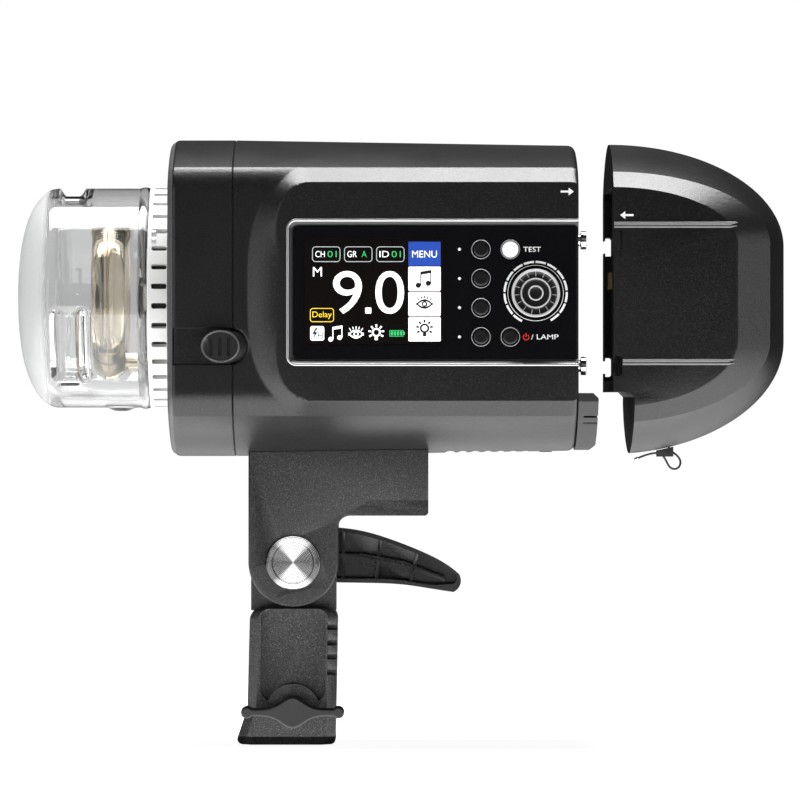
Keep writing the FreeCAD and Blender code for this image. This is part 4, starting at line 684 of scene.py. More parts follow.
# ---- the head's two shells ----------------------------------------------------------------------
@dataclass
class HeadShells(Assembly):
    """Front and main housing: crown, straight creases, slanted facets and raised cheeks."""

    crease_half: float = 56.0
    crease_top: float = 51.3
    crease_low: float = -48.2
    corner_radius: float = 13.7
    corner_top: float = 41.6
    corner_low: float = -38.5
    flat_top: float = 45.3
    flat_low: float = -42.6
    drop: float = 2.2
    hump_full: float = 8.0
    hump_reach: float = 34.9
    hump_power: float = 3.0
    nose_width: float = 0.734
    side_width: float = 0.121
    recess_lap: float = 1.0
    channel: tuple[float, float, float, float] = (-47.3, -24.5, -20.4, 7.5)
    channel_depth: float = 1.25
    wall: float = 3.0
    mouth_radius: float = 53.5
    face_thick: float = 8.0
    rear_round: float = 2.9
    flutes: int = 7
    flute_start: float = 64.0
    flute_pitch: float = 5.15
    flute_radius: float = 3.4
    flute_depth: float = 2.2

    def __post_init__(self) -> None:
        """Reads the places that the frame settles."""
        low, high = reach("front_housing")
        self.front, self.seam, self.side = low[0], high[0], high[1]
        self.rear, self.cheek = reach("main_housing")[1][:2]
        self.axis = axis_height()
        self.top = high[2] - self.axis
        self.bottom = low[2] - self.axis
        strip_low, strip_high = reach("panel_frame")
        self.recess = (strip_low[0] + self.recess_lap, strip_low[2] - self.axis + self.recess_lap,
                       strip_high[2] - self.axis - self.recess_lap)
        self.floor = -reach("panel_frame")[1][1]

    def crown(self, x: Array, y: Array, upper: bool) -> Array:
        """Height of the crown or keel: the arc through its middle height and its crease."""
        middle = self.top if upper else -self.bottom
        edge = self.crease_top if upper else -self.crease_low
        middle = middle - self.drop * np.clip((x - self.seam) / (self.rear - self.seam), 0, 1)
        rise = middle - edge
        radius = (self.crease_half ** 2 + rise ** 2) / (2 * rise)
        height = middle - radius + np.sqrt(radius ** 2 - y ** 2)
        return height if upper else -height

    def plain(self, z: Array) -> Array:
        """Half width of the plain section: flat, with a round corner below each crease."""
        over = np.maximum(np.maximum(z - self.corner_top, self.corner_low - z), 0.0)
        hub = self.side - self.corner_radius
        return hub + np.sqrt(np.maximum(self.corner_radius ** 2 - over ** 2, 0.0))

    def hump(self, x: Array, z: Array) -> Array:
        """Half width over a raised cheek.

        The cheek's outline is the curve u^3 + v^3 = 1, with u the distance ahead of its full
        part and v the height from its middle, both as shares of their reach.  Inside that
        outline the width climbs from the crease's to the cheek's: straight along the long
        edges and as a sine over the nose.
        """
        middle = (self.crease_top + self.crease_low) / 2
        half = (self.crease_top - self.crease_low) / 2
        u = np.maximum(self.hump_full - x, 0.0) / self.hump_reach
        v = np.abs(z - middle) / half
        total = np.maximum(u ** self.hump_power + v ** self.hump_power, 1e-9)
        level = total ** (1.0 / self.hump_power)
        share = (u ** self.hump_power / total) ** 0.636
        width = self.side_width + (self.nose_width - self.side_width) * share
        t = np.clip((1.0 - level) / width, 0.0, 1.0)
        climb = (1.0 - share) * t + share * np.sin(t * np.pi / 2)
        return self.crease_half + (self.cheek - self.crease_half) * climb

    def half_width(self, x: Array, z: Array, near: bool) -> Array:
        """Half width with the panel's recess and, on the near side, the slider's channel."""
        width = np.maximum(self.plain(z), np.where(x > self.seam - 0.01, self.hump(x, z), 0.0))
        x0, z0, z1 = self.recess
        inside = (x > x0) & (z > z0) & (z < z1)
        width = np.where(inside, self.floor - 0.1, width)
        if near:
            start, bend, middle, half = self.channel
            ahead = np.maximum(x - bend, 0.0)
            spread = np.hypot(ahead * half / 7.4, z - middle)
            edge = 0.35 + 1.3 * np.clip(ahead / 6.0, 0.0, 1.0)
            t = np.clip((half - spread) / edge, 0.0, 1.0) * (x > start)
            width = width * (1 - t) + np.minimum(width, self.side - self.channel_depth) * t
        return width

    def heights(self) -> Array:
        """Heights of the side's grid lines: close together at creases, recess and channel."""
        steps = [np.linspace(self.crease_low, self.crease_top, 110)]
        near_crease = np.array([0.12, 0.3, 0.6, 1.1, 1.8])
        steps.append(self.crease_top - near_crease)
        steps.append(self.crease_low + near_crease)
        for z in (self.flat_top, self.flat_low, self.recess[1], self.recess[2]):
            steps.append(z + np.array([-0.5, -0.08, 0.08, 0.5]))
        middle, half = self.channel[2], self.channel[3]
        for z in (middle - half, middle + half):
            steps.append(z + np.array([-0.05, 0.0, 0.35, -0.35, 0.7, -0.7]))
        return np.unique(np.round(np.concatenate(steps), 3))[::-1]

    def half(self, xs: Array, inset: Array, near: bool, side_inset: Array) -> Array:
        """Half of each cross-section, from the crown's middle down to the keel's middle."""
        side_z = self.heights()
        share = np.concatenate([np.linspace(0.0, 0.93, 18), [0.965, 0.985, 0.995]])
        count = len(xs)
        column = xs[:, None]
        crown_y = self.crease_half * share[None, :] * np.ones((count, 1))
        crown_z = self.crown(column, crown_y, True)
        low_y = crown_y[:, ::-1]
        low_z = self.crown(column, low_y, False)
        wide = self.half_width(column, side_z[None, :] * np.ones((count, 1)), near)
        y = np.concatenate([crown_y, wide, low_y], axis=1)
        z = np.concatenate([crown_z, side_z[None, :] * np.ones((count, 1)), low_z], axis=1)
        y = y * (1.0 - side_inset[:, None] / self.side)
        z = z * (1.0 - inset[:, None] / self.top)
        sign = -1.0 if near else 1.0
        return np.stack([column * np.ones_like(y), sign * y, z + self.axis], -1)

    def rings(self, xs: Array, inset: Array, side_inset: Array | None = None) -> Array:
        """Whole cross-sections: the near half, then the far half back up to the crown."""
        sides = inset if side_inset is None else side_inset
        near = self.half(xs, inset, True, sides)
        far = self.half(xs, inset, False, sides)[:, ::-1]
        return np.concatenate([near, far[:, 1:-1]], axis=1)

    def front_shell(self) -> None:
        """The front housing: its skin, its bowed face, the ring's mouth and its inner wall."""
        xs = np.concatenate([[0.0, 0.5, 1.2, 1.9, 2.2], np.linspace(2.25, 25.6, 30),
                             [25.75, 26.0]]) + self.front
        inset = np.interp(xs - self.front, [0.0, 0.5, 1.9, 2.6, 25.6, 26.0],
                          [2.1, 1.35, 0.4, 0.0, 0.0, 0.4])
        skin = self.rings(xs, inset)
        spoke = skin[0, :, 1:] - np.array([0.0, self.axis])
        unit = spoke / np.linalg.norm(spoke, axis=1)[:, None]
        mouth = unit * self.mouth_radius + np.array([0.0, self.axis])
        rows = [np.column_stack([np.full(len(mouth), x), mouth])
                for x in (self.front + self.face_thick, self.front)]
        bow = [skin[0] * (1 - t) + rows[1] * t for t in (0.25, 0.6)]
        bow = [row + np.array([-0.35, 0.0, 0.0]) for row in bow]
        deep = self.rings(np.array([self.seam, self.front + self.face_thick]),
                          np.array([self.wall] * 2))
        loop = np.concatenate([deep, np.stack([rows[0], rows[1], bow[1], bow[0]]), skin])
        marks = np.zeros(len(loop), int)
        # the front chamfer's rows take the lighter rim finish: a painted highlight
        marks[6:9] = 1
        mould = Mould()
        mould.grid(loop, wrap_u=True, wrap_v=True, mark=marks[:, None])
        piece = mould.cast("front_housing_shell", [HOUSING, RIM_PAINTED_HIGHLIGHT], 28.0)
        self.settle(piece, "head", "housing_black", ["front_housing"])

    def main_shell(self) -> None:
        """The main housing: its skin with both cheeks, its rear rim and its inner wall."""
        x0 = self.recess[0]
        xs = np.unique(np.round(np.concatenate([
            self.seam + np.array([0.0, 0.2, 0.4]), np.arange(self.seam + 1.0, 12.0, 0.7),
            [x0 - 0.4, x0 - 0.06, x0 + 0.06, x0 + 0.4], np.linspace(13.0, self.rear - 3.2, 16),
            self.rear - self.rear_round * np.array([1.0, 0.75, 0.5, 0.3, 0.15, 0.05, 0.0])]), 3))
        sides = np.interp(xs, [self.seam, self.seam + 0.4, self.rear - 0.4, self.rear],
                          [0.4, 0.0, 0.0, 0.3])
        into = np.maximum(xs - self.rear + self.rear_round, 0.0)
        inset = np.where(into > 0, self.rear_round
                         - np.sqrt(np.maximum(self.rear_round ** 2 - into ** 2, 0.0)), sides)
        skin = self.rings(xs, inset, sides)
        back = np.array([self.rear, self.rear - 3.3])
        rim = self.rings(back, np.array([3.9, 3.9]))
        deep = self.rings(np.array([self.rear - 3.3, self.seam]), np.array([6.4, self.wall]))
        mould = Mould()
        mould.grid(np.concatenate([skin, rim, deep]), wrap_u=True, wrap_v=True)
        piece = mould.cast("main_housing_shell", [HOUSING], 28.0)
        self.add_ribs(piece)
        self.settle(piece, "head", "housing_black", ["main_housing"])

    def add_ribs(self, piece: bpy.types.Object) -> None:
        """Carves the finger flutes into the keel: round channels across it."""
        mould = Mould()
        height = self.bottom + self.axis + self.flute_depth - self.flute_radius
        for i in range(self.flutes):
            x = self.flute_start + i * self.flute_pitch
            path = np.linspace([x, -30.0, height], [x, 30.0, height], 3)
            mould.tube(path, self.flute_radius, 28)
        carve(piece, mould.cast("flute_cutter", [HOUSING]), 28.0)

    def build(self) -> None:
        """Makes both shells."""
        self.front_shell()
        self.main_shell()


# ---- battery ------------------------------------------------------------------------------------
@dataclass
class BatteryPack(Assembly):
    """The battery's case: nested D outlines that draw in from the crown to the flat sides."""

    crease_half: float = 56.0
    rear_top: float = 20.6
    rear_low: float = -18.0
    crease_in: float = 13.2
    crease_rear: float = 8.7
    face_in: float = 19.6
    face_rear: float = 22.3
    band_half: float = 26.4
    band_middle: float = 0.3
    band_corner: float = 5.0
    handle: float = 0.5523
    notch_top: float = -38.6
    notch_length: float = 8.4
    seat_depth: float = 3.4
    seat_lip: float = 0.45
    seat_half: float = 3.95
    seat_neck: float = 2.65
    pocket: tuple[float, float, float, float] = (46.0, 44.0, -34.0, 6.5)
    stud_heights: tuple[float, float] = (22.1, -28.2)
    ridge_ends: tuple[float, float] = (49.6, 48.4)

    def __post_init__(self) -> None:
        """Reads the places that the frame settles."""
        low, high = reach("battery_case")
        self.x0, self.x1, self.half = low[0], high[0], high[1]
        self.axis = axis_height()
        self.top = high[2] - self.axis
        self.bottom = low[2] - self.axis

    def outline(self, drop: float, pull: float, corner: bool = False) -> Array:
        """A D: straight front, quarter ovals above and below, straight rear.

        Each quarter oval is the cubic curve whose two handles are 0.5523 of its sides.  With
        `corner`, the rear between the ridges also turns inwards at its two ends.
        """
        top = self.top - drop
        low = self.bottom + drop
        rear = self.x1 - pull
        t = np.linspace(0.0, 1.0, 56)[:, None]
        k = self.handle
        upper = self.curve(t, (self.x0, top), (self.x0 + k * (rear - self.x0), top),
                           (rear, self.rear_top + k * (top - self.rear_top)),
                           (rear, self.rear_top))
        lower = self.curve(t, (rear, self.rear_low),
                           (rear, self.rear_low + k * (low - self.rear_low)),
                           (self.x0 + k * (rear - self.x0), low), (self.x0, low))
        straight = np.linspace([rear, self.rear_top], [rear, self.rear_low], 14)[1:-1]
        front = np.linspace([self.x0, low], [self.x0, top], 40)[1:-1]
        points = np.concatenate([upper, straight, lower, front])
        if corner:
            over = np.abs(points[:, 1] - self.band_middle) - (self.band_half - self.band_corner)
            inside = over < self.band_corner
            bite = np.clip(over, 0.0, self.band_corner)
            limit = rear - 1.2 - self.band_corner + np.sqrt(self.band_corner ** 2 - bite ** 2)
            points[:, 0] = np.where(inside, np.minimum(points[:, 0], limit), points[:, 0])
        return points

    @staticmethod
    def curve(t: Array, a: Sequence[float], b: Sequence[float], c: Sequence[float],
              d: Sequence[float]) -> Array:
        """A cubic curve with the ends a and d and the handles b and c."""
        a, b, c, d = (np.array(p)[None, :] for p in (a, b, c, d))
        s = 1.0 - t
        return s ** 3 * a + 3 * s * s * t * b + 3 * s * t * t * c + t ** 3 * d

    def arc_drop(self, y: float, edge: float) -> float:
        """How far an outline draws in at depth y: the arc that reaches `edge` at the crease."""
        radius = (self.crease_half ** 2 + edge ** 2) / (2 * edge)
        return radius - math.sqrt(radius ** 2 - y * y)

    def case(self) -> None:
        """Rings from one flat side over the crown to the other, then the carved front."""
        levels = []
        for share in (0.0, 0.16, 0.32, 0.48, 0.62, 0.75, 0.86, 0.94, 0.985, 0.997, 1.0):
            y = share * self.crease_half
            levels.append((y, self.outline(self.arc_drop(y, self.crease_in),
                                           self.arc_drop(y, self.crease_rear))))
        for share in (0.012, 0.05, 0.3, 0.65, 0.94, 0.99):
            y = self.crease_half + share * (self.half - self.crease_half)
            drop = self.crease_in + share * (self.face_in - self.crease_in)
            pull = self.crease_rear + share * (self.face_rear - self.crease_rear)
            levels.append((y, self.outline(drop, pull)))
        levels.append((self.half, self.outline(self.face_in + 0.2, self.face_rear + 0.3, True)))
        rings = []
        for sign, run in ((-1.0, levels[::-1]), (1.0, levels[1:])):
            for y, points in run:
                rings.append(np.column_stack([points[:, 0], np.full(len(points), sign * y),
                                              points[:, 1] + self.axis]))
        mould = Mould()
        index = mould.grid(np.stack(rings), wrap_v=True)
        mould.cap(index[0])
        mould.cap(index[-1])
        piece = mould.cast("battery_shell", [BATTERY_SKIN], 28.0)
        carve(piece, self.cutter(), 28.0)
        self.settle(piece, "battery", "battery_black", ["battery_case"])

    def cutter(self) -> bpy.types.Object:
        """The shapes taken out of the front: plate pocket, heel notch, two stud seats."""
        half, top, low, depth = self.pocket
        mould = Mould()
        x0 = self.x0 - 5.0
        mould.block((x0, -half, self.axis + low), (self.x0 + depth, half, self.axis + top))
        notch = Mould()
        corner = 2.0
        reach_x = self.x0 + self.notch_length
        high = self.axis + self.notch_top
        notch.prism(np.array([[x0, high - 60], [reach_x, high - 60], [reach_x, high - corner],
                              [reach_x - corner, high], [x0, high]]), -80.0, 80.0)
        cutters = [mould, notch]
        for z in self.stud_heights:
            seat = Mould()
            edge, neck = self.seat_half, self.seat_neck
            lip = self.x0 + self.seat_lip
            end = self.x0 + self.seat_depth
            middle = self.axis + z
            seat.prism(np.array([[x0, middle - neck], [lip, middle - neck],
                                 [lip, middle - edge], [end - 0.7, middle - edge],
                                 [end, middle - edge + 0.7], [end, middle + edge - 0.7],
                                 [end - 0.7, middle + edge], [lip, middle + edge],
                                 [lip, middle + neck], [x0, middle + neck]]), -79.0, 79.0)
            cutters.append(seat)
        whole = cutters[0].cast("seat_cutter_0", [BATTERY_SKIN])
        for number, other in enumerate(cutters[1:], 1):
            carve(whole, other.cast(f"seat_cutter_{number}", [BATTERY_SKIN]), 28.0, "UNION")
        return whole

    def ridges(self) -> None:
        """Two slim ribs on each side: a double line painted light grey as a highlight, with a
        pointed rear end.
        """
        mould = Mould()
        for sign in (-1.0, 1.0):
            for middle, end in ((self.band_half + 1.3, self.ridge_ends[0]),
                                (-self.band_half - 0.7, self.ridge_ends[1])):
                z = self.axis + self.band_middle + middle
                start = self.x0 + (0.15 if middle > 0 else 3.6)
                for shift, thick, width in ((0.75, 0.62, 0.62), (-0.55, 0.5, 0.5)):
                    outline = np.array([
                        [start, z + shift - width], [self.x0 + end - 3.0, z + shift - width],
                        [self.x0 + end, z + shift + width * 0.5],
                        [self.x0 + end - 1.0, z + shift + width], [start, z + shift + width]])
                    mould.cushion(outline, sign * (self.half + thick), sign * (self.half - 0.3),
                                  0.3)
        piece = mould.cast("battery_side_ribs", [RIB_PAINTED_HIGHLIGHT], 40.0)
        self.settle(piece, "battery", "battery_black", ["battery_ridges"])

    def build(self) -> None:
        """Makes the case and its ribs."""
        self.case()
        self.ridges()


# ---- dome, vent ring and flash tube -------------------------------------------------------------
@dataclass
class LampFront(Assembly):
    """Everything ahead of the front rim: glass dome, vent ring, flash tube and its wire."""

    radius: float = 44.85
    wall: float = 2.6
    cap: float = 16.5
    cap_power: float = 0.77
    dimple_x: float = -90.3
    dimple_half: float = 6.0
    dimple_reach: float = 19.0
    dimple_depth: float = 3.2
    dimple_angles: tuple[float, ...] = (90.0, 210.0, 330.0)
    vent_radius: float = 45.95
    vent_wall: float = 3.2
    slots: int = 36
    ring_radius: float = 28.0
    tube_radius: float = 6.8
    tube_bore: float = 4.9
    gap: float = 38.0
    leg_radius: float = 4.0
    wire_radius: float = 0.4
    lead_radius: float = 0.25
    wire_clearance: float = 0.35
    wire_turns: int = 9
    wire_span: float = 0.75

    def __post_init__(self) -> None:
        """Reads the places that the frame settles."""
        self.front = reach("glass_dome")[0][0]
        ring_low, ring_high = reach("vent_ring")
        self.vent_front, self.vent_rear = ring_low[0], ring_high[0]
        self.axis = (ring_low[2] + ring_high[2]) / 2
        tube_low, tube_high = reach("flash_tube")
        self.tube_x = tube_low[0] + self.tube_radius
        self.leg_end = tube_high[0]
        self.rim = reach("front_housing")[0][0]

    def dome_profile(self, inset: float) -> tuple[Array, Array]:
        """Places and radii along the dome: one round cap and a straight wall.

        At angle a the cap lies cap * (1 - cos a) behind the front, and its radius is the
        wall's times sin a to the power 0.77.
        """
        front = self.front + inset
        radius = self.radius - inset
        a = np.linspace(0.0, np.pi / 2, 40)
        cap_x = front + self.cap * (1 - np.cos(a))
        cap_r = radius * np.sin(a) ** self.cap_power
        marks = [self.dimple_x + s * (self.dimple_half + d)
                 for s in (-1.0, 1.0) for d in (-1.0, -0.5, 0.0, 0.5)]
        wall_x = np.unique(np.concatenate([
            np.linspace(cap_x[-1] + 0.8, self.vent_front - 4.6, 30), marks,
            self.vent_front - np.array([4.2, 3.92]), np.linspace(self.vent_front - 4.0,
                                                      self.vent_front - 0.4, 9)]))
        wall_x = wall_x[wall_x > cap_x[-1] + 0.2]
        bead = np.clip(1.0 - ((wall_x - self.vent_front + 2.4) / 1.7) ** 2, 0.0, 1.0)
        lift = 0.5 * np.sqrt(bead) if inset == 0 else np.zeros_like(bead)
        xs = np.concatenate([cap_x, wall_x])
        radii = np.concatenate([cap_r, radius + lift])
        return xs, radii

    def dome_surface(self, inset: float) -> Array:
        """The turned profile, pressed in at three oblong dimples and swollen at the glass pip.

        A dimple's depth is the product of a soft box along X and one round the wall.
        """
        xs, radii = self.dome_profile(inset)
        turn = np.linspace(0.0, 2 * np.pi, 300, endpoint=False)
        angle, x = np.meshgrid(turn, xs, indexing="ij")
        radius = np.broadcast_to(radii[None, :], angle.shape).copy()
        grow = inset * 0.8
        for place in self.dimple_angles:
            off = (np.degrees(angle) - place + 180.0) % 360.0 - 180.0
            around = np.abs(np.radians(off)) * self.radius
            sides = 1.0 - smooth_step(np.abs(x - self.dimple_x), self.dimple_half - 3.0 + grow,
                                      self.dimple_half - 0.4 + grow)
            ends = 1.0 - smooth_step(around, self.dimple_reach - 4.0, self.dimple_reach)
            radius -= self.dimple_depth * sides * ends
        if inset == 0:
            off = (np.degrees(angle) + 90.0 + 180.0) % 360.0 - 180.0
            around = np.radians(off) * self.radius
            pip = np.exp(-((x - self.front - 42.0) / 4.6) ** 4 - (around / 3.2) ** 2)
            radius += 1.5 * pip
        return np.stack([x, radius * np.cos(angle), self.axis + radius * np.sin(angle)], -1)

    def dome(self) -> None:
        """Outer and inner glass surfaces, joined by the neck that seats in the vent ring."""
        outer = self.dome_surface(0.0)
        inner = self.dome_surface(self.wall)
        neck_r = self.vent_radius - self.vent_wall - 0.35
        turn = np.linspace(0.0, 2 * np.pi, 300, endpoint=False)
        neck = []
        for x, radius in ((self.vent_front - 0.3, neck_r), (self.vent_front + 8.8, neck_r),
                          (self.vent_front + 8.8, neck_r - self.wall),
                          (self.vent_front - 4.0, neck_r - self.wall)):
            neck.append(np.stack([np.full(300, x), radius * np.cos(turn),
                                  self.axis + radius * np.sin(turn)], -1))
        loop = np.concatenate([outer, np.stack(neck, 1), inner[:, ::-1]], axis=1)
        mould = Mould()
        mould.grid(loop, wrap_u=True)
        glass = Glass("dome_glass", (0.96, 0.965, 0.965), 0.015, self.front + 12.6)
        piece = mould.cast("dome_shell", [glass], 40.0, 0.01)
        self.settle(piece, "dome", "dome_glass", ["glass_dome"])

    def vent(self) -> None:
        """The white ring: a turned wall with carved slots and a black sheet behind them, which
        paints the shade seen through the slots.
        """
        mould = Mould()
        inner = self.vent_radius - self.vent_wall
        bevel = 0.5
        profile = np.array([
            [inner, self.vent_front + bevel], [inner + bevel, self.vent_front],
            [self.vent_radius - bevel, self.vent_front],
            [self.vent_radius, self.vent_front + bevel], [self.vent_radius, self.vent_rear],
            [inner, self.vent_rear]])
        mould.lathe(profile, (0.0, 0.0, self.axis), 0, 180)
        piece = mould.cast("vent_ring_shell", [VENT_WHITE], 30.0)
        cutter = Mould()
        for i in range(self.slots):
            a = math.radians(i * 360.0 / self.slots + 5.0)
            out = np.array([math.cos(a), math.sin(a)])
            side = np.array([-out[1], out[0]])
            ring = rounded_box(self.vent_front + 1.6, self.rim - 1.0, -1.15, 1.15, 0.8, 4)
            rows = []
            for radius in (inner - 1.0, self.vent_radius + 1.0):
                yz = out[None, :] * radius + side[None, :] * ring[:, 1:2]
                rows.append(np.column_stack([ring[:, 0], yz[:, 0], yz[:, 1] + self.axis]))
            index = cutter.grid(np.stack(rows), wrap_v=True)
            cutter.cap(index[0])
            cutter.cap(index[1])
        carve(piece, cutter.cast("slot_cutter", [VENT_WHITE]), 30.0)
        self.settle(piece, "head", "vent_white", ["vent_ring"])
        # painted shade: a black sheet inside the ring so the slots read dark
        shade_sheet = Mould()
        start, end = self.vent_front + 1.2, self.rim - 0.5
        shade_sheet.lathe(np.array([[inner - 0.22, start], [inner - 0.02, start],
                              [inner - 0.02, end], [inner - 0.22, end]]),
                    (0.0, 0.0, self.axis), 0, 180)
        self.settle(shade_sheet.cast("vent_slot_shade_sheet", [LIT_BLACK], 30.0), "head", "inner_black")

    def c_surface(self, radius: float) -> Array:
        """Part of a ring: the section's circle carried round a C, with round closed ends.

        Over the last stretch at each end the section shrinks as the cosine of its way, which
        makes a half ball.
        """
        half = math.radians(180.0 - self.gap / 2)
        way = np.concatenate([np.linspace(-1.0, 0.0, 9)[:-1], np.linspace(0.0, 1.0, 72),
                              np.linspace(1.0, 2.0, 9)[1:]])
        core = np.clip(way, 0.0, 1.0)
        over = np.where(way < 0, way, np.where(way > 1, way - 1, 0.0)) * np.pi / 2
        size = np.maximum(radius * np.cos(over), 0.01)
        step = radius * np.sin(over) / self.ring_radius
        theta = np.pi / 2 + (core * 2 - 1) * half + step
        phi = np.linspace(0, 2 * np.pi, 28, endpoint=False)
        ring = self.ring_radius + size[:, None] * np.cos(phi)[None, :]
        x = self.tube_x + size[:, None] * np.sin(phi)[None, :]
        return np.stack([x, ring * np.cos(theta)[:, None],
                         self.axis + ring * np.sin(theta)[:, None]], -1)

    def leg_places(self) -> list[tuple[float, float]]:
        """Y and Z of the two legs."""
        places = []
        for sign in (-1.0, 1.0):
            a = math.radians(-90.0 + sign * self.gap / 2)
            places.append((self.ring_radius * math.cos(a),
                           self.axis + self.ring_radius * math.sin(a)))
        return places

    def flash_tube(self) -> None:
        """Glass C with a bore, its legs and the electrodes inside it."""
        mould = Mould()
        mould.grid(self.c_surface(self.tube_radius), wrap_v=True)
        bore = self.c_surface(self.tube_bore)
        mould.grid(bore[:, ::-1], wrap_v=True)
        piece = mould.cast("flash_tube_glass", [TUBE_GLASS], 50.0, 0.02)
        self.settle(piece, "head", "tube_glass", ["flash_tube"])
        legs = Mould()
        for y, z in self.leg_places():
            path = np.linspace([self.tube_x + 5.2, y, z], [self.leg_end, y, z], 12)
            legs.tube(path, self.leg_radius, 24)
        self.settle(legs.cast("flash_tube_legs", [TUBE_GLASS], 50.0), "head", "tube_glass")
        metal = Mould()
        half = math.radians(180.0 - self.gap / 2)
        for sign in (-1.0, 1.0):
            theta = np.pi / 2 + sign * np.linspace(half - 0.02, half - 0.42, 12)
            path = np.stack([np.full(12, self.tube_x), self.ring_radius * np.cos(theta),
                             self.axis + self.ring_radius * np.sin(theta)], -1)
            metal.tube(path[:8], 3.1, 20)
            metal.tube(path, 1.5, 16)
        for y, z in self.leg_places():
            path = np.linspace([self.tube_x, y, z], [self.leg_end + 7.5, y, z], 8)
            metal.tube(path, 1.1, 14)
        self.settle(metal.cast("tube_electrodes", [GOLD_WIRE], 40.0), "head", "bright_steel")

    def trigger_wire(self) -> None:
        """A fine wire wound round the tube's top, then led down its side: one long helix."""
        t = np.linspace(0.0, 1.0, 300)
        theta = np.pi / 2 + (t - 0.5) * self.wire_span
        phi = t * self.wire_turns * 2 * np.pi
        coil = self.tube_radius + self.wire_clearance
        ring = self.ring_radius + coil * np.cos(phi)
        path = np.stack([self.tube_x + coil * np.sin(phi),
                         ring * np.cos(theta), self.axis + ring * np.sin(theta)], -1)
        mould = Mould()
        mould.tube(path, self.wire_radius, 8)
        theta = np.linspace(np.pi / 2 + self.wire_span / 2, np.pi * 1.38, 60)
        ring = self.ring_radius + coil
        lead = np.stack([np.full(60, self.tube_x), ring * np.cos(theta),
                         self.axis + ring * np.sin(theta)], -1)
        mould.tube(lead, self.lead_radius, 8)
        piece = mould.cast("trigger_wire", [GOLD_WIRE], 60.0)
        self.settle(piece, "head", "bright_steel", ["tube_wires"])

    def clip(self) -> None:
        """The small chrome catch in the vent ring's near side."""
        mould = Mould()
        angle = math.radians(180.0 - 32.0)
        for side in (-1.6, 1.6):
            a = angle + side / self.vent_radius
            points = []
            for radius in (self.vent_radius - 0.6, self.vent_radius + 0.7):
                points.append([radius * math.cos(a), self.axis + radius * math.sin(a)])
            path = np.array([[self.vent_front + ahead, *points[end]]
                             for ahead, end in ((1.6, 0), (1.7, 1), (3.0, 1), (3.1, 0))])
            mould.tube(path, 0.42, 10)
        self.settle(mould.cast("vent_catch", [CHROME], 60.0), "head", "bright_steel")

    def build(self) -> None:
        """Makes the lamp's front."""
        self.dome()
        self.vent()
        self.flash_tube()
        self.trigger_wire()
        self.clip()


